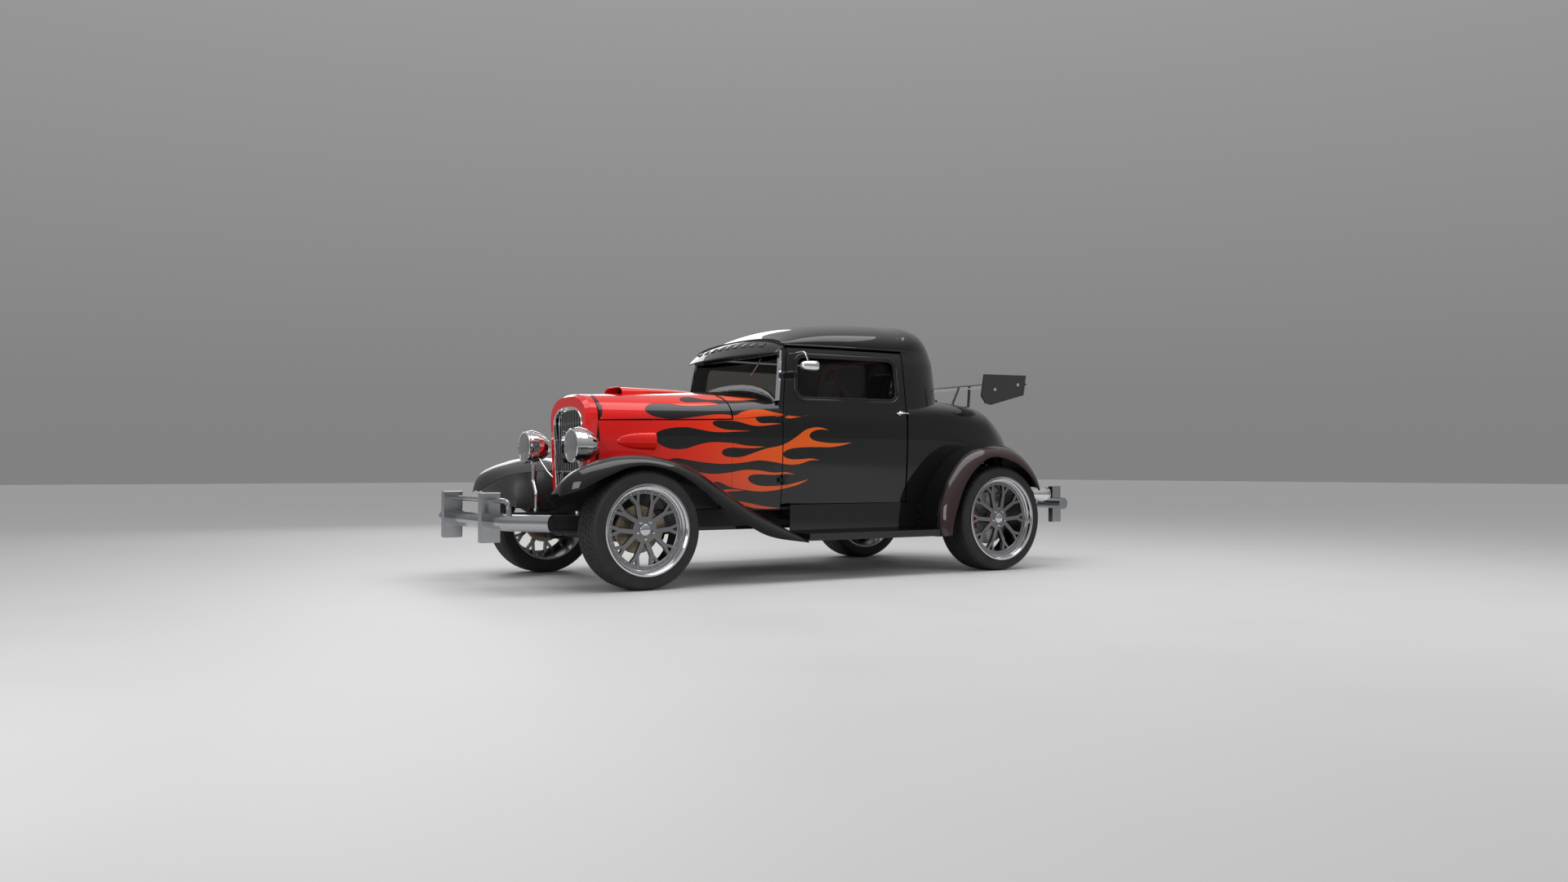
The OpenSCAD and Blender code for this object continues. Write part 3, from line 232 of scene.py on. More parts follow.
surface("interior_black", (0.013, 0.013, 0.014), 0.0, 0.55, None, (900, 0.25, 0.0006), {"kind": "voronoi"})
surface("carpet", (0.012, 0.011, 0.011), 0.0, 0.95, None, (1200, 0.6, 0.002), Sheen_Weight=0.3)
surface("leather_red", (0.23, 0.012, 0.014), 0.0, 0.42,
        ("Base Color", 16, (0.19, 0.010, 0.012), (0.27, 0.016, 0.018)), coat=0.12, coat_rough=0.35, **leather)
surface("leather_black", (0.012, 0.012, 0.013), 0.0, 0.45, **leather)
surface("window_glass", (0.42, 0.40, 0.38), 0.0, 0.0, ("Roughness", 2, 0.0, 0.012), Transmission_Weight=1.0,
        IOR=1.15)
surface("lens_glass", (0.97, 0.97, 0.97), 0.0, 0.01, None, (110, 0.25, 0.001),
        {"kind": "wave", "stretch": (0, 1, 0)}, Transmission_Weight=1.0, IOR=1.3)
surface("lamp_red", (0.5, 0.004, 0.004), 0.0, 0.08, None, (220, 0.3, 0.001), {"kind": "voronoi"}, coat=1.0,
        Transmission_Weight=0.4)
surface("floor", (0.74, 0.74, 0.735), 0.0, 0.55, ("Roughness", 1.5, 0.5, 0.6))


def carbon():
    """Fine check of two blacks under a clear coat."""
    t = node_material("carbon", (0.02, 0.02, 0.02), 0.0, 0.3, coat=1.0).node_tree
    coord = t.nodes.new("ShaderNodeTexCoord")
    mapping = t.nodes.new("ShaderNodeMapping")
    mapping.inputs["Rotation"].default_value = (0.3, 0.4, 0.785)
    check = t.nodes.new("ShaderNodeTexChecker")
    check.inputs["Scale"].default_value = 180
    check.inputs["Color1"].default_value = (0.010, 0.010, 0.011, 1)
    check.inputs["Color2"].default_value = (0.035, 0.035, 0.035, 1)
    t.links.new(coord.outputs["Object"], mapping.inputs[0])
    t.links.new(mapping.outputs[0], check.inputs["Vector"])
    t.links.new(check.outputs["Color"], t.nodes["Principled BSDF"].inputs["Base Color"])


def stage_floor():
    bm = bmesh.new()
    bmesh.ops.create_grid(bm, x_segments=8, y_segments=8, size=60)
    me = bpy.data.meshes.new("floor")
    bm.to_mesh(me)
    obj = bpy.data.objects.new("floor", me)
    me.materials.append(made["floor"])
    scene.collection.objects.link(obj)


carbon()
stage_floor()

SLOT = {
    "body_black": ("black_paint", "flare_paint"), "flame_red": ("flame_paint", "lamp_red"),
    "cage_red": ("cage_paint", "caliper_red"), "chrome": ("chrome", "bumper_chrome"),
    "wheel_metal": ("gunmetal", "polished", "disc_steel", "bronze"), "tyre_rubber": ("tyre_rubber",),
    "interior_black": ("seal_rubber", "interior_black", "carpet"), "chassis_black": ("chassis_black",),
    "engine_iron": ("engine_iron",), "seat_leather": ("leather_red", "leather_black"),
    "window_glass": ("window_glass", "lens_glass"), "carbon_black": ("carbon",),
}
SLOT = {material: slot for slot, materials in SLOT.items() for material in materials}

# ---------------------------------------------------------------- mesh helpers


def bare_object(name, mesh):
    """Object of a mesh with its faces turned outwards."""
    me = bpy.data.meshes.new(name)
    me.from_pydata([tuple(p) for p in mesh[0]], [], mesh[1])
    bm = bmesh.new()
    bm.from_mesh(me)
    bmesh.ops.recalc_face_normals(bm, faces=bm.faces)
    bm.to_mesh(me)
    bm.free()
    obj = bpy.data.objects.new(name, me)
    scene.collection.objects.link(obj)
    return obj


def finish_object(obj, material, body, replaces=(), angle=35, bevel=0.0):
    """Weld, smooth and bevel a visual piece, hang it on its body and hide the CAD parts it replaces."""
    me = obj.data
    bm = bmesh.new()
    bm.from_mesh(me)
    bmesh.ops.remove_doubles(bm, verts=bm.verts, dist=1e-6)
    bmesh.ops.recalc_face_normals(bm, faces=bm.faces)
    bm.to_mesh(me)
    bm.free()
    if not me.materials:
        me.materials.append(made[material])
    me.shade_smooth()
    me.set_sharp_from_angle(angle=math.radians(angle))
    if bevel:
        mod = obj.modifiers.new("bevel", "BEVEL")
        mod.width = bevel
        mod.segments = 2
        mod.limit_method = "ANGLE"
        mod.angle_limit = math.radians(40)
        mod.harden_normals = True
    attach(obj, body)
    if replaces:
        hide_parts(*replaces)
    return obj


def sheet_mesh(outer, inner):
    """Closed sheet between two grids of points."""
    rows, cols = len(outer), len(outer[0])
    n = rows * cols
    verts = [V(*p) for g in (outer, inner) for row in g for p in row]
    faces = []
    for i in range(rows - 1):
        for j in range(cols - 1):
            a = i * cols + j
            faces.append((a, a + 1, a + cols + 1, a + cols))
            faces.append((n + a, n + a + cols, n + a + cols + 1, n + a + 1))
    for j in range(cols - 1):
        c = n - cols + j
        faces.append((j + 1, j, n + j, n + j + 1))
        faces.append((c, c + 1, n + c + 1, n + c))
    for i in range(rows - 1):
        a, c = i * cols, i * cols + cols - 1
        faces.append((a, a + cols, n + a + cols, n + a))
        faces.append((c + cols, c, n + c, n + c + cols))
    return verts, faces


def loft_mesh(rings, caps=True, loop=False):
    """Skin over rings of points, with flat ends or back round to the first ring."""
    n = len(rings[0])
    verts = [V(*p) for r in rings for p in r]
    faces = []
    for k in range(len(rings) if loop else len(rings) - 1):
        ahead = (k + 1) % len(rings) * n
        for j in range(n):
            faces.append((k * n + j, k * n + (j + 1) % n, ahead + (j + 1) % n, ahead + j))
    if caps:
        faces.append(tuple(range(n - 1, -1, -1)))
        faces.append(tuple((len(rings) - 1) * n + j for j in range(n)))
    return verts, faces


def lathe_mesh(profile, axis_point, axis, steps=64):
    """Profile of (radius, height along the axis) in mm, turned about an axis."""
    axis = Vector(axis).normalized()
    side = axis.orthogonal().normalized()
    other = axis.cross(side)
    rings = []
    for k in range(steps):
        a = 2 * pi * k / steps
        d = side * cos(a) + other * sin(a)
        rings.append([Vector(axis_point) + d * r + axis * h for r, h in profile])
    return loft_mesh(rings, caps=False, loop=True)


def tube_mesh(points, r, sides=16, closed=False):
    """Tube along points; r is a radius or a function of the way along, 0 to 1."""
    pts = [Vector(p) for p in points]
    rings = []
    last = len(pts) - 1
    up = None
    for i, p in enumerate(pts):
        if closed:
            ahead = (pts[(i + 1) % len(pts)] - pts[i - 1]).normalized()
        else:
            ahead = (pts[min(i + 1, last)] - pts[max(i - 1, 0)]).normalized()
        if up is None:
            up = ahead.orthogonal().normalized()
        up = (up - ahead * up.dot(ahead)).normalized()
        v = ahead.cross(up)
        rad = r(i / last) if callable(r) else r
        turns = [2 * pi * k / sides for k in range(sides)]
        rings.append([p + up * rad * cos(a) + v * rad * sin(a) for a in turns])
    if closed:
        rings.append(rings[0])
    return loft_mesh(rings, caps=not closed)


def bent(points, cut, n=6):
    """Path with each corner rounded over a length cut off on both sides."""
    pts = [Vector(p) for p in points]
    out = [pts[0]]
    for i in range(1, len(pts) - 1):
        p = pts[i]
        a = p + (pts[i - 1] - p).normalized() * cut
        b = p + (pts[i + 1] - p).normalized() * cut
        for k in range(n + 1):
            t = k / n
            out.append(a * (1 - t) ** 2 + p * 2 * t * (1 - t) + b * t * t)
    return out + [pts[-1]]


def join_meshes(parts):
    verts, faces = [], []
    for v, f in parts:
        base = len(verts)
        verts += list(v)
        faces += [tuple(i + base for i in face) for face in f]
    return verts, faces


def mirrored(mesh):
    v, f = mesh
    return [Vector((p[0], -p[1], p[2])) for p in v], [tuple(reversed(face)) for face in f]


def box_mesh(low, high):
    x0, y0, z0 = low
    x1, y1, z1 = high
    v = [V(x, y, z) for x in (x0, x1) for y in (y0, y1) for z in (z0, z1)]
    return v, [(0, 1, 3, 2), (4, 6, 7, 5), (0, 4, 5, 1), (2, 3, 7, 6), (0, 2, 6, 4), (1, 5, 7, 3)]


def cut_with(obj, cutters, operation="DIFFERENCE"):
    """Boolean with cutter meshes, applied."""
    for mesh in cutters:
        cutter = bare_object("cutter", mesh)
        mod = obj.modifiers.new("cut", "BOOLEAN")
        mod.object = cutter
        mod.operation = operation
        mod.solver = "EXACT"
        apply_modifiers(obj)
        bpy.data.objects.remove(cutter)


def apply_modifiers(obj):
    bpy.context.view_layer.update()
    deps = bpy.context.evaluated_depsgraph_get()
    me = bpy.data.meshes.new_from_object(obj.evaluated_get(deps))
    obj.modifiers.clear()
    obj.data = me


# ---------------------------------------------------------------- shapes of the body, as in the CAD


def curve(points):
    """Smooth function through points."""
    p = sorted(points)

    def slope(i):
        a, b = max(i - 1, 0), min(i + 1, len(p) - 1)
        return (p[b][1] - p[a][1]) / (p[b][0] - p[a][0])

    def at(x):
        if x <= p[0][0]:
            return p[0][1]
        for i in range(len(p) - 1):
            if x <= p[i + 1][0]:
                h = p[i + 1][0] - p[i][0]
                t = (x - p[i][0]) / h
                return (p[i][1] * (1 + 2 * t) * (1 - t) ** 2 + slope(i) * h * t * (1 - t) ** 2
                        + p[i + 1][1] * t * t * (3 - 2 * t) - slope(i + 1) * h * t * t * (1 - t))
        return p[-1][1]

    return at


def power(v, n):
    return math.copysign(abs(v) ** n, v)


def steps(a, b, n):
    return [a + (b - a) * i / n for i in range(n + 1)]


FA, RA = 1346, -1346
HALF, SHELL, BELT, SILL, ROOF, EDGE = 692, 292, 1045, 476, 1718, 1505
SHELL_TOP, PANEL, WALL, GAP = 1166, 10, 42, 5
SHELL_REAR, COWL, DOOR_F, DOOR_R, CAB = 1405, 600, 278, -686, -1210
COWL_REAR, HEADER, DOOR_TOP = 283, 222, 1480
WIN_LOW, WIN_TOP = 1160, 1424
FRONT_R, REAR_R, FRONT_W, REAR_W = 347, 359.5, 236, 268
FRONT_Y, REAR_Y = 741, 774
FENDER_OUT, FLARE_OUT = 869, 932
FRONT_RIM, REAR_RIM, FRONT_DISC, REAR_DISC = 264, 284, 140, 180
FLOOR, SHELL_FRONT, RAIL_TOP = 452, 1479, 446
LAMP_X, LAMP_Y, LAMP_Z = 1614, 379, 837
TAIL_X, TAIL_Y, TAIL_Z = -1970, 700, 515
WHEEL_X, WHEEL_Z = 88, 995  # middle of the steering wheel
MIRROR_Z, HANDLE_Z = 1352, 1072
LEAN = (DOOR_F - HEADER + GAP) / (DOOR_TOP - BELT)

plan = curve([(RA - 200, HALF - 100), (CAB, HALF - 30), (DOOR_R, HALF), (DOOR_R + 400, HALF - 4),
              (DOOR_F, HALF - 58), (COWL, HALF - 146),
              ((COWL + SHELL_REAR) / 2, (HALF - 146 + SHELL) / 2 + 12), (SHELL_REAR, SHELL)])
tuck = curve([(SILL - 100, 46), (SILL, 30), (SILL + 250, 8), (BELT - 40, 0), (BELT + 60, 14), (WIN_TOP, 58),
              (EDGE, 84)])
crease = curve([(DOOR_R, BELT + 5), (DOOR_F, BELT - 9), (COWL, BELT - 32), (SHELL_REAR, BELT - 45),
                (1479, BELT - 45)])
hood_z = curve([(COWL_REAR, BELT + 195), (COWL, SHELL_TOP + 42), ((COWL + SHELL_REAR) / 2, SHELL_TOP + 20),
                (SHELL_REAR, SHELL_TOP)])


def side_y(x, z):
    return plan(x) - tuck(z)


def seam_x(z):
    return DOOR_F - LEAN * max(0, z - BELT)


def arch(bx, bz, dx, dz, w, reach, n, cols):
    """Superellipse arch across the car from (bx, bz), bulging along (dx, dz)."""
    out = []
    for j in range(cols + 1):
        a = pi * j / cols
        r = reach * power(max(0.0, sin(a)), 2 / n)
        out.append((bx + dx * r, w * power(cos(a), 2 / n), bz + dz * r))
    return out


def hood_point(x, a, inset=0):
    """Point of the hood or cowl at an angle above the crease: 0 at the left crease, 180 at the right."""
    a = math.radians(a)
    return (x, (plan(x) - inset) * power(cos(a), 2 / 2.2),
            crease(x) + (hood_z(x) - crease(x) - inset) * power(max(0.0, sin(a)), 2 / 2.2))


def hood_arch(x, inset, cols=72):
    return [hood_point(x, 180 * j / cols, inset) for j in range(cols + 1)]


inner_f = curve([(FA + a, b) for a, b in [(-1106, 266), (-989, 330), (-746, SILL + 36), (-346, 640),
                                          (59, 690), (200, 682), (352, 650), (490, 560)]])
crown_f = curve([(FA + a, b) for a, b in [
    (-1106, 264), (-989, 322), (-750, 436), (-634, 508), (-475, 614), (-368, 682), (-262, 732), (-159, 758),
    (-30, 780), (82, 782), (185, 768), (268, 744), (352, 714), (433, 668), (478, 612), (490, 568)]])
lip_f = curve([(FA + a, b) for a, b in [
    (-1106, 240), (-806, 292), (-575, 412), (-454, 490), (-383, 552), (-278, 622), (-175, 676), (-73, 706),
    (37, 718), (147, 701), (231, 666), (313, 629), (395, 584), (478, 550), (490, 545)]])
nose_fy = curve([(FA + 59, SHELL + 2), (FA + 200, SHELL + 110), (FA + 352, SHELL + 220),
                 (FA + 490, SHELL + 330)])
outer_fy = curve([(FA - 1106, FENDER_OUT), (FA + 150, FENDER_OUT), (FA + 352, FENDER_OUT - 26),
                  (FA + 433, FENDER_OUT - 62), (FA + 490, FENDER_OUT - 130)])


def inner_fy(x):
    return side_y(x, inner_f(x)) + 2 if x < SHELL_REAR else nose_fy(x)


def fender_row(x, inset):
    yi, yo = inner_fy(x), outer_fy(x) - inset
    yc = yi + (yo - yi) * 0.74
    zi, zc, zo = inner_f(x) - inset, crown_f(x) - inset, lip_f(x)
    row = []
    for s in steps(0, 1, 16)[:-1]:
        row.append((x, yi + (yc - yi) * s, zi + (zc - zi) * sin(pi / 2 * s)))
    for a in steps(0, 90, 14):
        a = math.radians(a)
        row.append((x, yc + (yo - yc) * sin(a), zo + (zc - zo) * cos(a)))
    return row


deck_z = curve([(RA + a, b) for a, b in [
    (-706, SILL + 26), (-694, 640), (-664, 770), (-614, BELT - 155), (-554, BELT - 60), (-474, BELT + 10),
    (-374, BELT + 70), (-254, BELT + 115), (-104, BELT + 140), (136, BELT + 152), (660, BELT + 155)]])
quarter_z = curve([(RA + a, b) for a, b in [
    (-706, SILL + 14), (-614, 560), (-504, 640), (-354, BELT - 285), (-214, BELT - 150), (-154, BELT - 102),
    (-24, BELT - 60), (116, BELT - 24), (346, BELT + 2), (660, BELT + 5)]])
quarter_y = curve([(RA + a, HALF - b) for a, b in [
    (-706, 462), (-614, 342), (-504, 252), (-354, 162), (-154, 82), (116, 30), (346, 8), (660, 0)]])


def rear_section(x, inset, cols=48):
    y, z = quarter_y(x) - inset, quarter_z(x)
    h = deck_z(x) - z - inset
    side = [(x, y - tuck(SILL + (BELT - SILL) * s), SILL + (z - SILL) * s) for s in steps(0, 1, 10)[:-1]]
    top = []
    for j in range(cols + 1):
        a = pi * j / cols
        top.append((x, y * power(cos(a), 2 / 2.8), z + h * power(max(0.0, sin(a)), 2 / 2.8)))
    return side + top + [(x, -p[1], p[2]) for p in reversed(side)]


def rear_side_y(x, z):
    zc = quarter_z(x)
    if z <= zc:
        t = max(0, min(1, (z - SILL) / (zc - SILL)))
        return quarter_y(x) - tuck(SILL + (BELT - SILL) * t)
    return quarter_y(x) * max(0, 1 - min(1, (z - zc) / (deck_z(x) - zc)) ** 2.8) ** (1 / 2.8)


crest_r = curve([(-12, 185), (18, 169), (37, 161), (54, 163), (70, 155), (85, 144), (105, 143), (123, 131),
                 (141, 106), (150, 76)])
lip_r = curve([(-12, 125), (12, 73), (31, 67), (54, 71), (73, 78), (91, 52), (115, 30), (136, 20), (150, 18)])


def rear_fender_row(deg, inset):
    a = math.radians(deg)
    rc, rl = crest_r(deg) - inset, lip_r(deg)

    def point(y, r):
        return (RA + (REAR_R + r) * cos(a), y, REAR_R + (REAR_R + r) * sin(a))

    bx, _, bz = point(0, rc)
    yi = rear_side_y(bx, bz) + 3
    yo = FLARE_OUT - inset
    yc = yi + (yo - yi) * 0.6
    row = [point(yi + (yc - yi) * s, rc) for s in steps(0, 1, 10)[:-1]]
    for t in steps(0, pi / 2, 12):
        row.append(point(yc + (yo - yc) * sin(t), rl + (rc - rl) * cos(t)))
    return row


crown = curve([(DOOR_R - 60, ROOF - 3), (DOOR_R + 60, ROOF), (DOOR_R + 300, ROOF - 14),
               (DOOR_F - 400, ROOF - 40), (DOOR_F - 200, ROOF - 88), (HEADER, ROOF - 150)])
cab_line = curve([(BELT, CAB), (EDGE - 90, CAB + 12), (EDGE, CAB + 30)])


def cab_reach(z):
    return DOOR_R - cab_line(z)


dome_reach = curve([(0, ROOF - 3 - EDGE), (25, ROOF + 20 - EDGE), (45, ROOF + 90 - EDGE),
                    (68, cab_reach(EDGE) * 0.84), (90, cab_reach(EDGE))])


def roof_rows(inset, cols=80):
    rows = [arch(x, EDGE, 0, 1, side_y(x, EDGE) - inset, crown(x) - EDGE - inset, 2.3, cols)
            for x in steps(HEADER + 1, DOOR_R, 26)]
    for deg in steps(0, 90, 18)[1:]:
        a = math.radians(deg)
        rows.append(arch(DOOR_R, EDGE, -sin(a), cos(a), side_y(DOOR_R, EDGE) - inset, dome_reach(deg) - inset,
                         2.3 + deg / 450, cols))
    for z in steps(EDGE - 60, BELT + 20, 12):
        rows.append(arch(DOOR_R, z, -1, 0, side_y(DOOR_R, z) - inset, cab_reach(z) - inset, 2.5, cols))
    return rows


def door_x(s, z):
    return seam_x(z) + (DOOR_R + 8 - seam_x(z)) * s


def door_grid(inset, n=24):
    zs = steps(SILL, BELT, 16) + steps(BELT + 30, DOOR_TOP, 14)
    return [[(door_x(s, z), side_y(door_x(s, z), z) - inset, z) for z in zs] for s in steps(0, 1, n)]


def side_grid(xs, low, high, inset, n=16):
    return [[(x, side_y(x, z) - inset, z) for z in steps(low(x), high(x), n)] for x in xs]


def rounded_outline(corners, r, n=10):
    """Outline of a polygon with round corners, in a plane."""
    out = []
    m = len(corners)
    for i in range(m):
        p, a, b = Vector(corners[i]), Vector(corners[i - 1]), Vector(corners[(i + 1) % m])
        u, v = (a - p).normalized(), (b - p).normalized()
        half = u.angle(v) / 2
        centre = p + (u + v).normalized() * (r / sin(half))
        start, end = p + u * (r / math.tan(half)), p + v * (r / math.tan(half))
        a0 = math.atan2(*(start - centre).yx)
        a1 = math.atan2(*(end - centre).yx)
        turn = (a1 - a0 + pi) % (2 * pi) - pi
        for k in range(n + 1):
            t = a0 + turn * k / n
            out.append((centre.x + r * cos(t), centre.y + r * sin(t)))
    return out


# ---------------------------------------------------------------- body panels
BODY = "chassis"


def flip(side, grid):
    """The same grid of points on the left (1) or mirrored to the right (-1)."""
    return [[(p[0], side * p[1], p[2]) for p in row] for row in grid]


def sides():
    return ((1, "left"), (-1, "right"))


def put_sheet(name, outer, inner, material, body, replaces=(), cutters=(), keep_inside=()):
    obj = bare_object(name, sheet_mesh(outer, inner))
    cut_with(obj, cutters)
    cut_with(obj, keep_inside, "INTERSECT")
    return finish_object(obj, material, body, replaces, 30)


def skin(name, row, stations, body=BODY, replaces=(), cutters=(), side=1, wall=PANEL, material="black_paint"):
    """Panel whose outer and inner face are rows of one function of a station and an inset."""
    faces = [flip(side, [row(x, inset) for x in stations]) for inset in (0, wall)]
    put_sheet(name, *faces, material, body, replaces, cutters)


def side_skin(name, xs, low, high, side, replaces=()):
    """Panel on the body's side between two heights."""
    faces = [flip(side, side_grid(xs, low, high, inset)) for inset in (0, PANEL)]
    put_sheet(name, *faces, "black_paint", BODY, replaces)


def prism(outline, axis, low, high):
    """Closed prism of an outline; axis x takes (y, z) pairs, axis y takes (x, z), axis z takes (x, y)."""
    def point(p, h):
        return {"x": (h, p[0], p[1]), "y": (p[0], h, p[1]), "z": (p[0], p[1], h)}[axis]
    return loft_mesh([[point(p, low) for p in outline], [point(p, high) for p in outline]])


def put(name, mesh, material, body=BODY, replaces=(), angle=35, bevel=0.0):
    me = bpy.data.meshes.new(name)
    me.from_pydata([tuple(v) for v in mesh[0]], [], mesh[1])
    me.validate()
    obj = bpy.data.objects.new(name, me)
    scene.collection.objects.link(obj)
    return finish_object(obj, material, body, replaces, angle, bevel)


def window_outline(grow):
    front, rear = DOOR_F - 105, DOOR_R + 78
    return rounded_outline([(front + grow, WIN_LOW - grow), (front - 25 + grow, WIN_TOP + grow),
                            (rear - grow, WIN_TOP + grow), (rear - grow, WIN_LOW - grow)], 55 + grow)


def lid_prism(gap):
    front_w, rear_w = HALF - 272 - gap, HALF - 432 - gap
    front, rear = CAB - 70 - gap, RA - 590 + gap
    out = rounded_outline([(front, front_w), (front, -front_w), (rear, -rear_w), (rear, rear_w)], 40)
    return prism(out, "z", BELT - 260, BELT + 340)


def cabin_core():
    rings = []
    for z, lev in ((BELT - 60, BELT + 20), (BELT + 20, BELT + 20), (EDGE - 170, EDGE - 170),
                   (EDGE - 100, EDGE - 100)):
        w = side_y(DOOR_R, lev) - 2
        rings.append([(DOOR_R + 30, w, z)] + arch(DOOR_R, z, -1, 0, w, cab_reach(lev) - 2, 2.5, 80)
                     + [(DOOR_R + 30, -w, z)])
    return loft_mesh(rings)


def hood():
    xs = steps(SHELL_REAR - GAP - 3, COWL + GAP + 3, 32)
    skin("hood_skin", hood_arch, xs, "hood", ("hood_top",))
    hinge = (452, 1172)
    elbow = (COWL - 33, hinge[1] - 164)
    parts = []
    for side, _ in sides():
        y = side * 162
        path = [(hinge[0], y, hinge[1]), (elbow[0], y, elbow[1]), (COWL + 48, y, hood_z(COWL + 48) - 14)]
        parts.append(tube_mesh(bent(path, 30), 4.8, 12))
        eye = [(0, -20), (3.3, -20), (3.3, -5), (8.5, -5), (8.5, 5), (0, 5)]
        parts.append(lathe_mesh(eye, (hinge[0], y, hinge[1]), (0, side, 0), 24))
    put("hood_arms", join_meshes(parts), "chassis_black", "hood")


def hood_scoop():
    """Wedge that starts at an open mouth and runs out towards the cowl."""
    mouth, tail = COWL + 568, COWL + 30
    rows_out, rows_in = [], []
    for x in steps(mouth, tail, 14):
        t = (mouth - x) / (mouth - tail)
        half = 132 - 62 * t
        rise = 42 * (1 - t) ** 0.75 + 2
        row_o, row_i = [], []
        for j in range(25):
            a = pi * j / 24
            y = half * power(cos(a), 0.45)
            z0 = hood_z(x) - 6 - 0.00034 * y * y
            row_o.append((x, y, z0 + (rise + 6) * power(sin(a), 0.45)))
            row_i.append((x, y * 0.965, z0 - 3 + (rise + 4) * power(sin(a), 0.45)))
        rows_out.append(row_o)
        rows_in.append(row_i)
    put_sheet("hood_scoop", rows_out, rows_in, "flame_paint", "hood")
    lip = [(mouth - 1, 130 * power(cos(pi * j / 24), 0.45),
            hood_z(mouth) - 6 - 5.7 * power(cos(pi * j / 24), 0.9) ** 2 + 49 * power(sin(pi * j / 24), 0.45))
           for j in range(25)]
    put("hood_scoop_lip", tube_mesh(lip, 3, 8), "flame_paint", "hood")
    # Dark rubber sheet set a little inside the mouth: painted shade of the scoop's opening
    inside = [(COWL + 480, 118 * power(cos(pi * j / 16), 0.45),
               hood_z(COWL + 480) - 4 + 34 * power(sin(pi * j / 16), 0.45))
              for j in range(17)]
    put("hood_scoop_mouth_shade", loft_mesh([inside, [(p[0] - 6, p[1], p[2]) for p in inside]]), "seal_rubber",
        "hood")


def side_scoops():
    """Bullet on each hood side, closed at its front tip and open behind."""
    tip, back, mid_z = 1302, 1085, 870
    for side, name in sides():
        outer, inner = [], []
        for k in range(19):
            t = (k / 18) ** 1.6
            x = tip - 6 - (tip - back) * t
            half = 5 + 50 * sin(pi / 2 * t ** 0.55)
            out = 3 + 33 * t ** 0.7
            ring, ring_in = [], []
            for j in range(17):
                a = pi * j / 16
                z = mid_z + half * cos(a)
                ring.append((x, side_y(x, z) - 3 + (out + 3) * sin(a) ** 0.8, z))
                z = mid_z + (half - 3.5) * cos(a)
                ring_in.append((x, side_y(x, z) - 4 + out * sin(a) ** 0.8, z))
            outer.append(ring)
            inner.append(ring_in)
        put_sheet(f"side_scoop_{name}", flip(side, outer), flip(side, inner), "flame_paint", BODY)


def hood_and_cowl_sides():
    for side, name in sides():
        xs = steps(SHELL_REAR, COWL + 0.5, 28)
        low, high = (lambda x: inner_f(x) - 8), (lambda x: crease(x) - GAP)
        side_skin(f"hood_side_{name}", xs, low, high, side, ("hood_sides",) if side > 0 else ())
        xs = steps(COWL, COWL_REAR, 14)
        side_skin(f"cowl_side_{name}", xs, lambda x: 440, crease, side)
        xs = [27, 22, 16, 10, 5]
        column = lambda d, inset: [(seam_x(z) + d, side_y(seam_x(z) + d, z) - inset, z)
                                   for z in steps(crease(COWL_REAR) - 2, EDGE - 30, 14)]
        skin(f"windshield_pillar_{name}", column, xs, side=side, wall=34)
    xs = steps(COWL, COWL_REAR, 14)
    skin("cowl_top", hood_arch, xs, BODY, ("cowl",))


def door_hinges():
    """Barrels of the hinges: the middle knuckle on the cowl, the ends of the pin on the door."""
    for side, name in sides():
        fixed, moving = [], []
        for z in (SILL + 152, BELT - 25):
            at = (DOOR_F + 2, side * (HALF - 50), z)
            outline = lambda low, high, neck: [
                (0, low), (neck, low), (8, low + 1.5), (8, high - 1.5), (neck, high), (0, high)]
            barrel = lambda *sizes: lathe_mesh(outline(*sizes), at, (0, 0, 1), 24)
            fixed.append(barrel(-15, 15, 6.5))
            y0, y1 = sorted((side * (side_y(DOOR_F + 2, z) - 4), side * (HALF - 50)))
            fixed.append(box_mesh((DOOR_F + 6, y0, z - 14), (DOOR_F + 34, y1, z + 14)))
            for lo in (-27, 16):
                moving.append(barrel(lo, lo + 11, 7))
                moving.append(box_mesh((DOOR_F - 28, y0, z + lo + 0.5), (DOOR_F - 1, y1, z + lo + 10.5)))
        put(f"door_hinge_fixed_{name}", join_meshes(fixed), "black_paint", BODY, bevel=0.0006)
        put(f"door_hinge_moving_{name}", join_meshes(moving), "black_paint", f"door_{name}", bevel=0.0006)


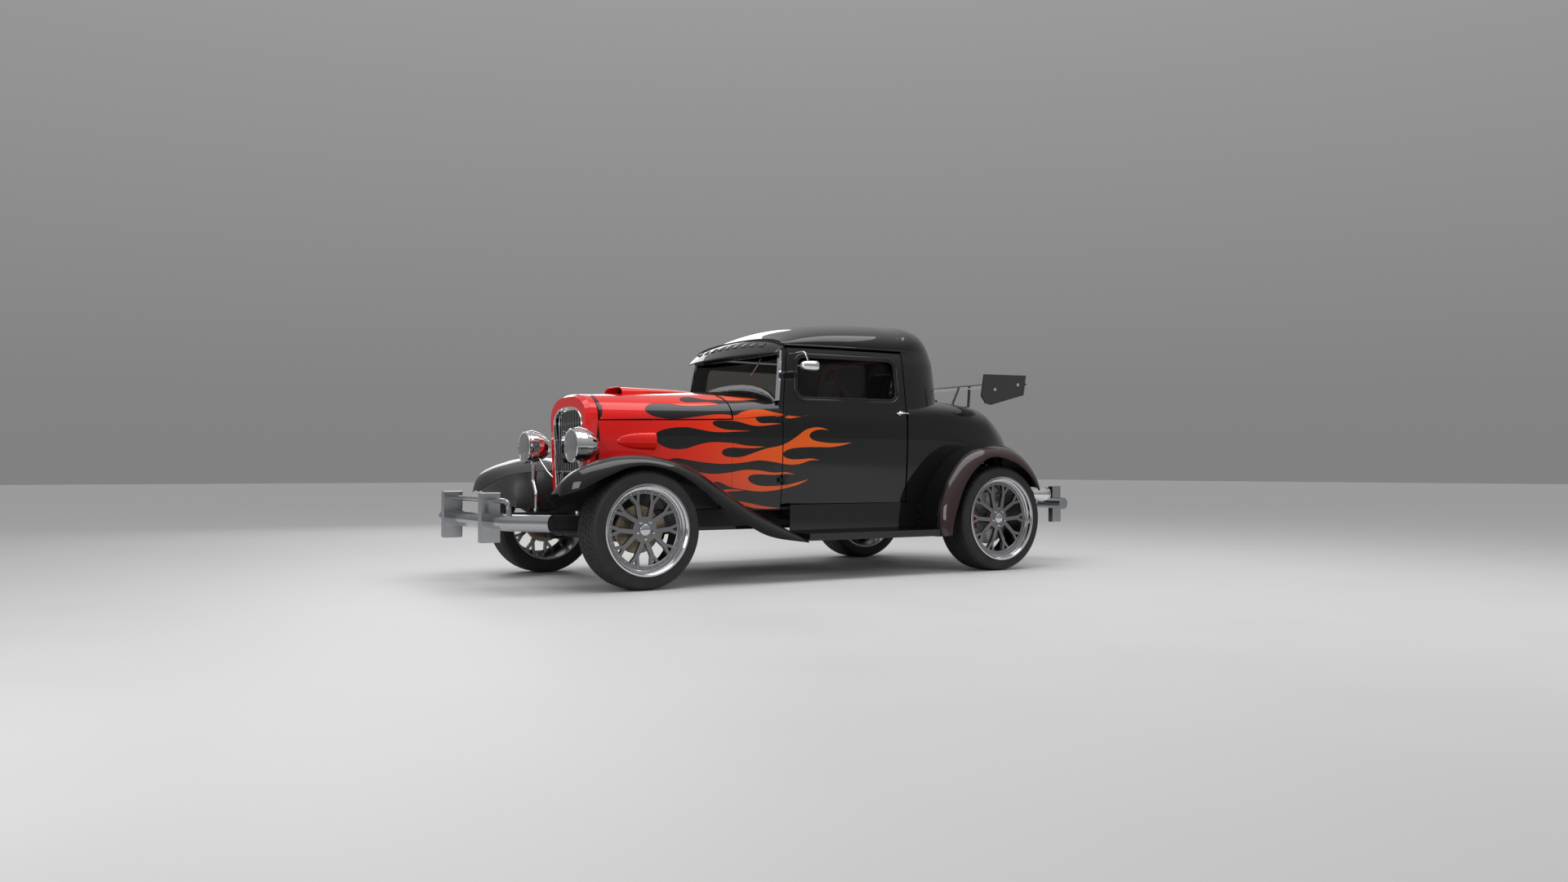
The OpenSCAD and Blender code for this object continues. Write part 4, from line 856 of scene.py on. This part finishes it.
def doors():
    for side, name in sides():
        body = f"door_{name}"
        hole = prism(window_outline(0), "y", side * (HALF + 60), side * (HALF - 260))
        faces = flip(side, door_grid(0)), flip(side, door_grid(WALL))
        put_sheet(f"door_skin_{name}", *faces, "black_paint", body, (body,), [hole])
        bead = [(x, side * (side_y(x, z) + 1), z) for x, z in window_outline(17)]
        put(f"window_bead_{name}", tube_mesh(bead, 8, 12, closed=True), "black_paint", body)
        seal = [(x, side * (side_y(x, z) - 5), z) for x, z in window_outline(-1)]
        put(f"window_seal_{name}", tube_mesh(seal, 5, 10, closed=True), "seal_rubber", body)
        grip = [(DOOR_R + dx, side * (HALF + dy), HANDLE_Z + dz)
                for dx, dy, dz in ((8, 17, 0), (45, 20, 2), (75, 18, 0), (106, 16, -4))]
        base = lathe_mesh([(0, -8), (15, -8), (15, 3), (11, 6), (8, 12), (8, 22), (0, 24)],
                          (DOOR_R + 60, side * (HALF - 5), HANDLE_Z), (0, side, 0), 24)
        put(f"door_handle_{name}",
            join_meshes([base, tube_mesh(bent(grip, 12), lambda t: 5.5 + 3.5 * sin(pi * t), 14)]),
            "chrome", body)
    x, z = DOOR_F - 80, WIN_TOP + 16
    arm = bent([(x, side_y(x, z) - 4, z), (x - 10, HALF + 50, z + 4), (x - 34, HALF + 66, 1360)], 28)
    head = [(0, -90), (26, -90), (34, -87), (36, -80), (34, -40), (28, 10), (18, 26), (8, 31), (0, 32)]
    put("mirror_arm", tube_mesh(arm, 5.5, 12), "chrome", "door_left")
    glass = [(0, -91.4), (30, -91), (30, -89.5), (0, -89.5)]
    for part, profile, material in (("head", head, "chrome"), ("glass", glass, "polished")):
        put(f"mirror_{part}", lathe_mesh(profile, (x, HALF + 66, MIRROR_Z), (1, 0, 0), 40), material,
            "door_left")


def rear_and_roof():
    rear_window = prism(rounded_outline([(-300, 1235), (300, 1235), (300, 1415), (-300, 1415)], 60), "x",
                        CAB - 80, CAB + 160)
    put_sheet("roof_skin", roof_rows(0), roof_rows(WALL), "black_paint", BODY, ("roof_shell",), [rear_window])
    edge = side_y(HEADER, EDGE)
    face = arch(HEADER, EDGE, 0, 1, edge, crown(HEADER) - EDGE, 2.3, 60)
    face = face + [(HEADER, -edge, EDGE - 40), (HEADER, edge, EDGE - 40)]
    put("windshield_header", loft_mesh([face, [(HEADER + 25, p[1], p[2]) for p in face]]), "black_paint",
        BODY, bevel=0.001)
    xs = steps(DOOR_R - GAP, CAB, 14) + steps(CAB - 20, RA - 374, 16)
    xs += steps(RA - 394, RA - 694, 20) + [RA - 706]
    arches = []
    for s in (1, -1):
        ring = [(RA + (REAR_R + 30) * cos(2 * pi * k / 96), REAR_R + (REAR_R + 30) * sin(2 * pi * k / 96))
                for k in range(96)]
        low, high = REAR_Y - REAR_W / 2 - 40, REAR_Y - REAR_W / 2 + 260
        arches.append(prism(ring, "y", s * low, s * high))
    outer, inner = [rear_section(x, 0) for x in xs], [rear_section(min(x, DOOR_R), PANEL) for x in xs]
    put_sheet("rear_skin", outer, inner, "black_paint", BODY, ("rear_body",),
              [cabin_core(), lid_prism(0)] + arches)
    put_sheet("trunk_skin", outer, inner, "black_paint", "trunk_lid", ("trunk_lid",),
              keep_inside=[lid_prism(GAP)])
    hx, hz = CAB - 72, deck_z(CAB - 70) + 9
    barrel = lambda y, half: lathe_mesh(
        [(0, -half), (8, -half), (8, half), (0, half)], (hx, y, hz), (0, 1, 0), 24)
    fixed, moving = [], []
    for s in (1, -1):
        y = sorted((s * 220, s * 250))
        fixed += [barrel(s * 235, 15), box_mesh((hx + 3, y[0], hz - 19), (hx + 29, y[1], hz - 1))]
        for mid in (213.5, 256.5):
            moving += [barrel(s * mid, 5.5),
                       box_mesh((hx - 30, s * mid - 5.5, hz - 19), (hx - 4, s * mid + 5.5, hz - 2))]
    put("trunk_hinge_fixed", join_meshes(fixed), "black_paint", BODY, bevel=0.0006)
    put("trunk_hinge_moving", join_meshes(moving), "black_paint", "trunk_lid", bevel=0.0006)
    xs = steps(HEADER + 4, DOOR_R - 60, 24)
    gutter = [tube_mesh([(x, s * (side_y(x, EDGE) + 1), EDGE - 3) for x in xs], 6, 10) for s in (1, -1)]
    put("roof_gutters", join_meshes(gutter), "black_paint", BODY)


def fenders():
    xs = steps(FA - 1106, FA - 560, 14) + steps(FA - 530, FA + 470, 40) + [FA + 480, FA + 490]
    degs = steps(150, -12, 60)
    for side, name in sides():
        skin(f"front_fender_skin_{name}", fender_row, xs, BODY, (f"front_fender_{name}",), side=side)
        skin(f"rear_fender_skin_{name}", lambda a, inset: rear_fender_row(a, inset)[:14], degs, BODY,
             (f"rear_fender_{name}",), side=side)
        skin(f"rear_flare_{name}", lambda a, inset: rear_fender_row(a, inset)[11:], degs, side=side,
             material="flare_paint")
        edge = [Vector((p[0], side * (p[1] + 2), p[2])) for p in (rear_fender_row(a, 0)[12] for a in degs)]
        put(f"rear_flare_seam_{name}", tube_mesh(edge, 3, 8), "black_paint", BODY)
        # Inner apron from the fender down to the frame
        outer = []
        for x in steps(FA + 484, FA - 740, 40):
            top_y, top_z = inner_fy(x) + 3, inner_f(x) - 3
            low_y = 352 + max(0, x - FA - 330) * 1.1
            low_z = RAIL_TOP + max(0, x - FA - 330) * 0.6
            row = []
            for s in steps(0, 1, 8):
                bow = 1 - (1 - s) ** 1.6
                row.append((x, top_y + (low_y - top_y) * bow, top_z + (low_z - top_z) * s))
            outer.append(row)
        inner = [[(p[0], p[1] - 4, p[2]) for p in row] for row in outer]
        put_sheet(f"front_apron_{name}", flip(side, outer), flip(side, inner), "chassis_black", BODY)


def visor_line(y, tight=0):
    """Height of the visor's rear and front edge and its length, at a place across the car."""
    drop = 46 * (y / HALF) ** 2
    return ROOF - 160 - 1.6 * drop - tight, EDGE - 50 - 0.3 * drop, 116 - 1.2 * drop - tight


def sun_visor():
    """Curved peak with nine louvres."""
    rows_o, rows_i = [], []
    start = HEADER + 25.5
    ends = HALF - 108
    for y in steps(-ends, ends, 60):
        top, front, reach = visor_line(y, 26 * abs(y / ends) ** 10)
        row, low = [], []
        for s in steps(0, 1, 14):
            x = start + reach * s
            z = top + (front - top) * s ** 1.7
            row.append((x, y, z))
            low.append((x - 2 * s, y, z - 5))
        row.append((start + reach - 1, y, front - 8))
        low.append((start + reach - 6, y, front - 8))
        rows_o.append(row)
        rows_i.append(low)
    put_sheet("visor_skin", rows_o, rows_i, "black_paint", BODY, ("sun_visor",))
    scoops, louvre_slot_shades = [], []
    for k in range(9):
        y = -400 + 100 * k
        top, front, reach = visor_line(y)
        z = lambda s: top + (front - top) * s ** 1.7
        rings = []
        for s in steps(0.34, 0.66, 8):
            t = (s - 0.34) / 0.32
            rings.append([(start + reach * s, y + 30 * cos(pi * j / 12),
                           z(s) - 1 + 11 * t ** 0.7 * sin(pi * j / 12))
                          for j in range(13)])
        scoops.append(sheet_mesh(rings, [[(p[0], y + (p[1] - y) * 0.9, p[2] - 2) for p in r] for r in rings]))
        # Dark inset at the front of each louvre: painted shade of its open slot
        s = 0.65
        face = [(start + reach * s, y + 26 * cos(pi * j / 12), z(s) + 8 * sin(pi * j / 12))
                for j in range(13)]
        louvre_slot_shades.append(loft_mesh([face, [(p[0] - 2, p[1], p[2]) for p in face]]))
    put("visor_louvres", join_meshes(scoops), "black_paint", BODY)
    put("visor_louvre_slot_shade", join_meshes(louvre_slot_shades), "seal_rubber", BODY)


# ---------------------------------------------------------------- flames
# Outlines as (x, z) on the side and (x, degrees above the crease) on top; a third number marks a sharp tip
SIDE_FLAMES = [
    [(1405, 1060, 1), (640, 1060), (545, 1055), (485, 1072), (415, 1075), (345, 1060), (255, 1042),
     (165, 1034), (90, 1048, 1), (225, 1022), (305, 1028), (385, 1038), (440, 1036), (458, 1019), (448, 1001),
     (420, 988), (365, 989), (292, 987, 1), (345, 980), (420, 971), (475, 972), (530, 986), (585, 999),
     (645, 1003), (710, 1000), (728, 986), (711, 966), (657, 948), (585, 942), (486, 938, 1), (565, 934),
     (656, 929), (729, 931), (800, 943), (890, 958), (980, 952), (1045, 935), (1067, 918), (1075, 896),
     (1067, 873), (1045, 848), (982, 823), (894, 824), (818, 848), (746, 864), (665, 865), (592, 859),
     (510, 845), (400, 839, 1), (455, 831), (528, 829), (600, 833), (652, 823), (668, 801), (645, 779),
     (581, 771), (527, 779), (464, 802), (382, 830), (305, 845), (246, 868), (185, 906), (123, 949),
     (60, 966), (6, 965), (-48, 950, 1), (6, 954), (60, 945), (90, 926), (93, 903), (60, 882), (-6, 871),
     (-93, 866), (-222, 871, 1), (-160, 855), (-72, 841), (15, 840), (100, 839), (184, 834), (245, 822),
     (279, 798), (264, 772), (212, 760), (140, 762), (77, 766), (21, 756, 1), (88, 753), (140, 736),
     (201, 726), (262, 729), (341, 743), (435, 753), (507, 742), (589, 733), (680, 731), (797, 742),
     (887, 757), (960, 765), (1040, 740), (1130, 690), (1200, 600), (1405, 500, 1)],
    [(870, 690, 1), (788, 674), (705, 667), (614, 676), (524, 692), (433, 689), (340, 675), (260, 678),
     (188, 664, 1), (260, 667), (338, 661), (414, 664), (478, 661), (500, 637), (475, 609), (420, 592),
     (335, 590), (236, 599), (155, 617), (93, 633, 1), (154, 603), (235, 580), (333, 562), (427, 556),
     (518, 567), (610, 586), (703, 619), (800, 560), (870, 540, 1)],
    [(680, 560, 1), (644, 568), (591, 571), (518, 563, 1), (581, 558), (631, 554), (680, 535, 1)],
    [(620, 505, 1), (551, 496), (477, 481), (384, 461), (290, 450, 1), (364, 446), (457, 452), (513, 466),
     (600, 470, 1)],
]
TOP_FLAMES = [
    [(1400, -1, 1), (1400, 91, 1), (1010, 91, 1), (1000, 78), (960, 68), (880, 64), (780, 66), (700, 62),
     (600, 52), (500, 42), (400, 33, 1), (529, 34), (660, 38), (730, 40), (790, 48), (840, 49), (880, 42),
     (873, 35), (811, 33), (717, 33), (662, 27, 1), (763, 25), (872, 25), (960, 30), (1045, 32), (1101, 28),
     (1130, 17), (1094, 6), (1009, 1), (921, 1), (819, 4), (728, 7), (650, 7), (586, 5), (544, 10), (486, 13),
     (414, 12), (343, 6), (255, 1, 1), (300, -1, 1)],
]


def smooth_outline(points, n=4):
    """Catmull-Rom curve round a closed outline, with its marked tips kept sharp."""
    out = []
    m = len(points)
    p = [Vector(q[:2]) for q in points]
    for i in range(m):
        a, b = p[i], p[(i + 1) % m]
        before = a if len(points[i]) > 2 else p[i - 1]
        after = b if len(points[(i + 1) % m]) > 2 else p[(i + 2) % m]
        for k in range(n):
            t = k / n
            out.append(0.5 * (2 * a + (b - before) * t + (2 * before - 5 * a + 4 * b - after) * t * t
                              + (3 * a - before - 3 * b + after) * t ** 3))
    return out


def inside(p, outline):
    hit = False
    a = outline[-1]
    for b in outline:
        if (a.y > p.y) != (b.y > p.y) and p.x < (b.x - a.x) * (p.y - a.y) / (b.y - a.y) + a.x:
            hit = not hit
        a = b
    return hit


def decal(name, outlines, panel, place, body, stretch=1.0, step=20):
    """Thin painted skin inside the outlines and inside a panel's border, laid on its surface by place()."""
    scale = lambda q: Vector((q[0], q[1] * stretch))
    shapes = [[scale(q) for q in smooth_outline(o)] for o in outlines]
    border = [scale(q) for q in panel]
    points, edges = [], []
    for loop in shapes + [border]:
        base = len(points)
        points += loop
        edges += [(base + i, base + (i + 1) % len(loop)) for i in range(len(loop))]
    xs, zs = [q.x for q in border], [q.y for q in border]
    for i in range(int((max(xs) - min(xs)) / step) + 1):
        for j in range(int((max(zs) - min(zs)) / step) + 1):
            points.append(Vector((min(xs) + (i + 0.37) * step, min(zs) + (j + 0.41) * step)))
    verts, _, faces, _, _, _ = delaunay_2d_cdt(points, edges, [], 0, 1e-4)
    kept = []
    for f in faces:
        mid = sum((verts[i] for i in f), Vector((0, 0))) / len(f)
        if inside(mid, border) and any(inside(mid, s) for s in shapes):
            kept.append(f)
    used = sorted({i for f in kept for i in f})
    index = {v: k for k, v in enumerate(used)}
    n = len(used)
    flat = [(verts[i].x, verts[i].y / stretch) for i in used]
    top, low = [place(x, h, 0.9) for x, h in flat], [place(x, h, -1.0) for x, h in flat]
    solid = [tuple(index[i] for i in f) for f in kept]
    rim = {}
    for f in solid:
        for a, b in zip(f, f[1:] + f[:1]):
            rim[(a, b)] = rim.get((a, b), 0) + 1
    walls = [(b, a, a + n, b + n) for a, b in rim if (b, a) not in rim]
    solid += [tuple(i + n for i in reversed(f)) for f in solid] + walls
    mesh = ([V(*q) for q in top + low], solid)
    put(f"{name}_left", mesh, "flame_paint", body.format("left"), angle=50)
    put(f"{name}_right", mirrored(mesh), "flame_paint", body.format("right"), angle=50)


def flames():
    on_side = lambda x, z, out: (x, side_y(x, z) + out, z)
    on_top = lambda x, a, out: hood_point(x, a, -out) if a > 0 else (x, plan(x) + out, crease(x) + a)
    xs = steps(SHELL_REAR - 1, COWL + 1, 40)
    border = [(x, crease(x) - GAP - 1) for x in xs] + [(x, inner_f(x) - 6) for x in reversed(xs)]
    decal("flames_hood_side", SIDE_FLAMES, border, on_side, BODY)
    xs = steps(COWL - 1, COWL_REAR + 1, 12)
    border = [(x, crease(x) - 0.2) for x in xs] + [(x, 441) for x in reversed(xs)]
    decal("flames_cowl_side", SIDE_FLAMES, border, on_side, BODY)
    zs = steps(SILL + 1, 1125, 20)
    border = [(seam_x(z) - 1, z) for z in zs] + [(-300, 1125), (-300, SILL + 1)]
    decal("flames_door", SIDE_FLAMES, border, on_side, "door_{}")
    border = [(SHELL_REAR - GAP - 4, 0.5), (SHELL_REAR - GAP - 4, 90), (COWL + GAP + 4, 90),
              (COWL + GAP + 4, 0.5)]
    decal("flames_hood", TOP_FLAMES, border, on_top, "hood", 8)
    border = [(COWL - 1, 0.1), (COWL - 1, 90), (COWL_REAR + 1, 90), (COWL_REAR + 1, 0.1)]
    decal("flames_cowl", TOP_FLAMES, border, on_top, BODY, 8)


hood()
hood_scoop()
side_scoops()
hood_and_cowl_sides()
door_hinges()
doors()
rear_and_roof()
fenders()
sun_visor()
flames()

# ---------------------------------------------------------------- wheels
def tread_tyre(name, centre, r, w, rim_r, side, body):
    """Tyre with four grooves and a row of sipes on each shoulder."""
    bead, flank = rim_r - 3.9, r - 34
    half = [(bead, w / 2 - 11.5), (bead + 8, w / 2 - 5), (flank, w / 2 - 1), (flank + 10, w / 2 - 2),
            (r - 10, w / 2 - 14), (r - 4, w / 2 - 26), (r - 0.5, w / 2 - 42)]
    for groove in (60, 22):
        half += [(r, groove + 4), (r - 7, groove + 3), (r - 7, groove - 3), (r, groove - 4)]
    profile = half + [(p, -h) for p, h in reversed(half)]
    rings = []
    for k in range(360):
        a = 2 * pi * k / 360
        ring = []
        for p, h in profile:
            shift = int(abs(h) / 26) * 2
            cut = 4.5 if p > r - 5 and (k + shift) % 6 == 0 else 0
            ring.append((centre[0] + (p - cut) * cos(a), centre[1] + side * h,
                         centre[2] + (p - cut) * sin(a)))
        rings.append(ring)
    put(f"treaded_{name}", loft_mesh(rings, caps=False, loop=True), "tyre_rubber", body, (name,), 28)


def sector(centre, r0, r1, mid, spread, y0, y1):
    ring = [math.radians(mid + spread * t) for t in steps(-1, 1, 12)]
    outline = [(centre[0] + r1 * cos(a), centre[2] + r1 * sin(a)) for a in ring]
    outline += [(centre[0] + r0 * cos(a), centre[2] + r0 * sin(a)) for a in reversed(ring)]
    return prism(outline, "y", y0, y1)


def wheels():
    for end, x, y, r, w, rim_r, disc_r, disc, jaw in (
            ("front", FA, FRONT_Y, FRONT_R, FRONT_W, FRONT_RIM, FRONT_DISC, "bronze", "bronze"),
            ("rear", RA, REAR_Y, REAR_R, REAR_W, REAR_RIM, REAR_DISC, "disc_steel", "caliper_red")):
        for side, name in sides():
            c, axis, body = (x, side * y, r), (0, side, 0), f"wheel_{end}_{name}"
            tag = f"{end}_{name}"
            tread_tyre(f"tyre_{tag}", c, r, w, rim_r, side, body)
            h = w / 2
            lip = [(rim_r + 3, h - 9), (rim_r + 3, h - 1), (rim_r - 7, h - 0.5), (rim_r - 14, h - 8),
                   (rim_r - 17, h - 26), (rim_r - 27, h - 29), (rim_r - 29, h - 41), (rim_r - 33, h - 43.5),
                   (rim_r - 33, h - 45), (rim_r - 14.5, h - 45), (rim_r - 14.5, h - 12)]
            put(f"lip_{tag}", lathe_mesh(lip, c, axis, 96), "polished", body, angle=25)
            ring = [(rim_r - 33, h - 45), (rim_r - 33, h - 42.5), (rim_r - 54, h - 42), (rim_r - 57, h - 45)]
            put(f"spoke_ring_{tag}", lathe_mesh(ring, c, axis, 96), "gunmetal", body)
            bolt = lambda count, turn, radius, profile, facets: [
                lathe_mesh(profile, (c[0] + radius * cos(a), c[1], c[2] + radius * sin(a)), axis, facets)
                for a in [2 * pi * (k + 0.5) / count + turn for k in range(count)]]
            rivet = [(0, h - 43), (3.6, h - 43), (3.2, h - 40.5), (1.6, h - 39.2), (0, h - 39)]
            lug = [(0, h - 47), (11, h - 47), (10, h - 40), (8, h - 32), (0, h - 31)]
            bolts = bolt(30, 0, rim_r - 43.5, rivet, 10) + bolt(5, pi / 2, 52, lug, 6)
            cap = [(0, h - 47), (34, h - 47), (33, h - 38), (28, h - 34), (12, h - 31), (0, h - 30.5)]
            bolts.append(lathe_mesh(cap, c, axis, 48))
            put(f"bolts_{tag}", join_meshes(bolts), "polished", body)
            face = [(82, -18.5), (82, -17.4), (disc_r - 1, -17.4), (disc_r + 0.6, -19), (disc_r + 0.6, -39),
                    (disc_r - 1, -40.5), (82, -40.5), (82, -39)]
            put(f"disc_{tag}", lathe_mesh(face, c, axis, 96), disc, body, angle=25)
            # Dark dots on the disc face: painted shade in its drilled holes
            hole_shade_dots = []
            for k in range(14):
                for t in (0.2, 0.4, 0.6, 0.8):
                    a = 2 * pi * (k + 0.45 * t) / 14
                    q = 86 + (disc_r - 94) * t
                    hole_shade_dots.append(lathe_mesh([(0, -18), (3, -18), (3, -17.2), (0, -17.2)],
                                            (c[0] + q * cos(a), c[1], c[2] + q * sin(a)), axis, 8))
            put(f"disc_hole_shade_{tag}", join_meshes(hole_shade_dots), "seal_rubber", body)
            mid = 180 if end == "front" else 0
            holder = f"knuckle_{name}" if end == "front" else BODY
            covers = []
            for r0, y0, y1 in ((disc_r - 49, -11, 7), (disc_r - 49, -65, -47), (disc_r + 8, -65, 7)):
                ends = sorted((c[1] + side * y0, c[1] + side * y1))
                covers.append(sector(c, r0, disc_r + 25, mid, 24, *ends))
            put(f"caliper_cover_{tag}", join_meshes(covers), jaw, holder, bevel=0.002)


# ---------------------------------------------------------------- seats
SEATS = (("left", 300), ("right", -300))
VOXEL, CLOTH_FRAMES, BACK_LEAN = 0.009, 20, 0.22


def pillow(name, mesh, material, cap, replaces=((), ())):
    """Stuffed piece blown up by cloth pressure, and a copy of it for each seat."""
    obj = bare_object(name, mesh)
    mod = obj.modifiers.new("remesh", "REMESH")
    mod.mode = "VOXEL"
    mod.voxel_size = VOXEL
    apply_modifiers(obj)
    rest = [v.co.copy() for v in obj.data.vertices]
    cloth = obj.modifiers.new("cloth", "CLOTH").settings
    cloth.use_pressure = True
    cloth.uniform_pressure_force = 4
    cloth.effector_weights.gravity = 0
    for f in range(1, CLOTH_FRAMES + 1):
        scene.frame_set(f)
    apply_modifiers(obj)
    scene.frame_set(1)
    for v, r in zip(obj.data.vertices, rest):
        d = v.co - r
        if d.length > cap:
            v.co = r + d * (cap / d.length)
    mod = obj.modifiers.new("smooth", "SUBSURF")
    mod.levels = mod.render_levels = 1
    apply_modifiers(obj)
    for k, (label, shift) in enumerate(SEATS):
        piece = bpy.data.objects.new(f"{name}_{label}", obj.data.copy())
        for v in piece.data.vertices:
            v.co.y += shift / 1000
        scene.collection.objects.link(piece)
        finish_object(piece, material, BODY, replaces[k], 60)
    bpy.data.objects.remove(obj)


def seats():
    x, floor = DOOR_R + 60, FLOOR
    flat = lambda x0, x1, half, r, n=5: rounded_outline(
        [(x0, half), (x0, -half), (x1, -half), (x1, half)], r, n)
    level = lambda x0, x1, half, r, zs: loft_mesh(
        [[(p[0], p[1], z) for p in flat(x0, x1, half, r)] for z in zs])
    base = level(x + 14, x + 505, 212, 50, steps(floor + 12, floor + 118, 6))
    pillow("seat_base", base, "leather_black", 0.012, (("seat_left",), ("seat_right",)))
    insert = level(x + 150, x + 480, 128, 45, steps(floor + 92, floor + 122, 4))
    pillow("seat_insert", insert, "leather_red", 0.014)
    half = curve([(0, 212), (60, 220), (420, 208), (560, 140), (780, 116)])
    thick = curve([(0, 118), (60, 128), (420, 108), (560, 74), (780, 54)])
    rings, front = [], []
    for k in steps(8, 766, 22):
        lean = -k * BACK_LEAN
        out = flat(x + 10 + lean, x + thick(k) + lean, half(k), min(25, thick(k) / 2.4), 4)
        rings.append([(p[0], p[1], floor + 150 + k) for p in out])
    pillow("seat_back", loft_mesh(rings), "leather_black", 0.010)
    for k in steps(60, 520, 16):
        lean = -k * BACK_LEAN
        wide = min(half(k) - 62, 120)
        out = flat(x + thick(k) + lean - 18, x + thick(k) + lean + 8, wide, 11, 4)
        front.append([(p[0], p[1], floor + 150 + k) for p in out])
    pillow("seat_back_insert", loft_mesh(front), "leather_red", 0.010)


# ---------------------------------------------------------------- bright parts and small parts
def bright_parts():
    for side, name in sides():
        c = (LAMP_X, side * LAMP_Y, LAMP_Z)
        for part, material, profile in (
                ("rim", "chrome", [(100.5, -14), (103, -8), (103, 4), (98, 8), (92, 6), (92, 2), (97, -2),
                                   (97, -14)]),
                ("bowl", "polished", [(0, 0.4), (91, 0.4), (91, 2.5), (60, 1.4), (24, 0.8), (0, 0.8)]),
                ("lens", "lens_glass", [(0, 9), (50, 8), (92, 4), (92, 2.8), (50, 6.8), (0, 7.8)])):
            put(f"headlight_{part}_{name}", lathe_mesh(profile, c, (1, 0, 0), 64), material)
        ridge = tube_mesh([(1600, c[1], 940), (1570, c[1], 944), (1520, c[1], 930), (1470, c[1], 905)],
                          lambda t: 3 + 5 * sin(pi * t), 12)
        nut = lathe_mesh([(0, -12), (19, -12), (19, 10), (15, 14), (0, 14)], (1554, c[1], 738), (0, 0, 1), 6)
        bend = [(x, side * y, z) for x, y, z in
                ((1540, 350, 800), (1520, 320, 740), (1490, 290, 680), (1460, 262, 640))]
        put(f"headlight_trim_{name}", join_meshes([ridge, nut, tube_mesh(bend, 7, 12)]), "chrome")
        t = (TAIL_X, side * TAIL_Y, TAIL_Z)
        glass = [(0, 3), (30, 2.5), (44, 0.5), (44, -1), (0, -1)]
        put(f"tail_lens_{name}", lathe_mesh(glass, t, (-1, 0, 0), 40), "lamp_red")
        rim = [(43, -4), (49, -5), (48, 1), (45, 3), (43, 1)]
        put(f"tail_rim_{name}", lathe_mesh(rim, t, (-1, 0, 0), 48), "chrome")
        head = [(0, 0), (11, 0), (10, 4), (5, 6), (0, 6)]
        bolts = [lathe_mesh(head, (x, side * 756, z), (0, side, 0), 20)
                 for x, z in ((-1420, 1260), (-1640, 1300))]
        put(f"wing_bolts_{name}", join_meshes(bolts), "chrome", "trunk_lid")
        for label, x0, x1, z0, z1, y0, y1 in (("front", 2041, 2162, 274, 562, 314, 364),
                                              ("rear", -2362, -2274, 295, 570, 418, 468)):
            low, high = sorted((side * y0, side * y1))
            put(f"overrider_{label}_{name}", box_mesh((x0, low, z0), (x1, high, z1)), "bumper_chrome",
                bevel=0.006)
    frame_x = lambda z: seam_x(z) + 30
    wiper = [(frame_x(1400), 330, 1425), (frame_x(1400) + 14, 300, 1370), (frame_x(1350) + 14, 240, 1320)]
    put("wiper", tube_mesh(wiper, 4, 8), "chrome")
    mirror = box_mesh((frame_x(1380) - 62, -90, 1368), (frame_x(1380) - 50, 90, 1412))
    put("inside_mirror", mirror, "interior_black", bevel=0.005)
    hub = lathe_mesh([(0, -16), (40, -16), (38, 2), (26, 8), (0, 9)], (WHEEL_X, 300, WHEEL_Z),
                     (-0.894, 0, 0.447), 40)
    put("horn_button", hub, "interior_black", "steering_wheel")
    for k, y in enumerate((255, 345)):
        dial = lathe_mesh([(0, 0), (34, 0), (36, 3), (33, 5), (0, 5)], (300, y, 1075), (-1, 0, 0.2), 32)
        put(f"gauge_{k}", dial, "chrome")


def grille_trim():
    """Chrome rim and liner of the grille opening."""
    def outline(x, grow):
        w, top = 214 + grow, 1082 + grow
        out = [(x, w * power(cos(pi * j / 20), 2 / 2.6), 970 + (top - 970) * power(sin(pi * j / 20), 2 / 2.2))
               for j in range(21)]
        return out + [(x, -w + 45, 546 - grow), (x, w - 45, 546 - grow), out[0]]
    xs = (SHELL_REAR + 5, SHELL_REAR + 35, SHELL_FRONT)
    put_sheet("grille_liner", [outline(x, -1) for x in xs], [outline(x, -4) for x in xs], "chrome", BODY)
    put("grille_rim", tube_mesh(outline(SHELL_FRONT + 1, 1)[:-1], 6, 10, closed=True), "chrome")


grille_trim()
wheels()
seats()
bright_parts()

# ---------------------------------------------------------------- CAD nodes that stay, with their looks
KEEP = {
    **dict.fromkeys([f"rim_{end}_{side}" for end in ("front", "rear") for side in ("left", "right")],
                    "gunmetal"),
    "frame_rails": "chassis_black", "engine_block": "engine_iron", "floor_pan": "carpet",
    "front_axle": "chassis_black", "rear_axle": "chassis_black", "grille_shell": "flame_paint",
    "grille_bars": "chrome", "windshield_frame": "chrome", "cabin_glass": "window_glass",
    "running_boards": "black_paint", "headlights": "chrome", "front_bumper": "bumper_chrome",
    "rear_bumper": "bumper_chrome", "tail_lamps": "chrome", "dashboard": "interior_black",
    "roll_cage": "cage_paint", "steering_wheel": "interior_black", "door_glass_left": "window_glass",
    "door_glass_right": "window_glass", "rear_wing": "carbon", "knuckle_left": "chassis_black",
    "knuckle_right": "chassis_black",
}
for name, material in KEEP.items():
    me = nodes[name].data
    me.materials.clear()
    me.materials.append(made[material])
    me.shade_smooth()
    me.set_sharp_from_angle(angle=math.radians(30))
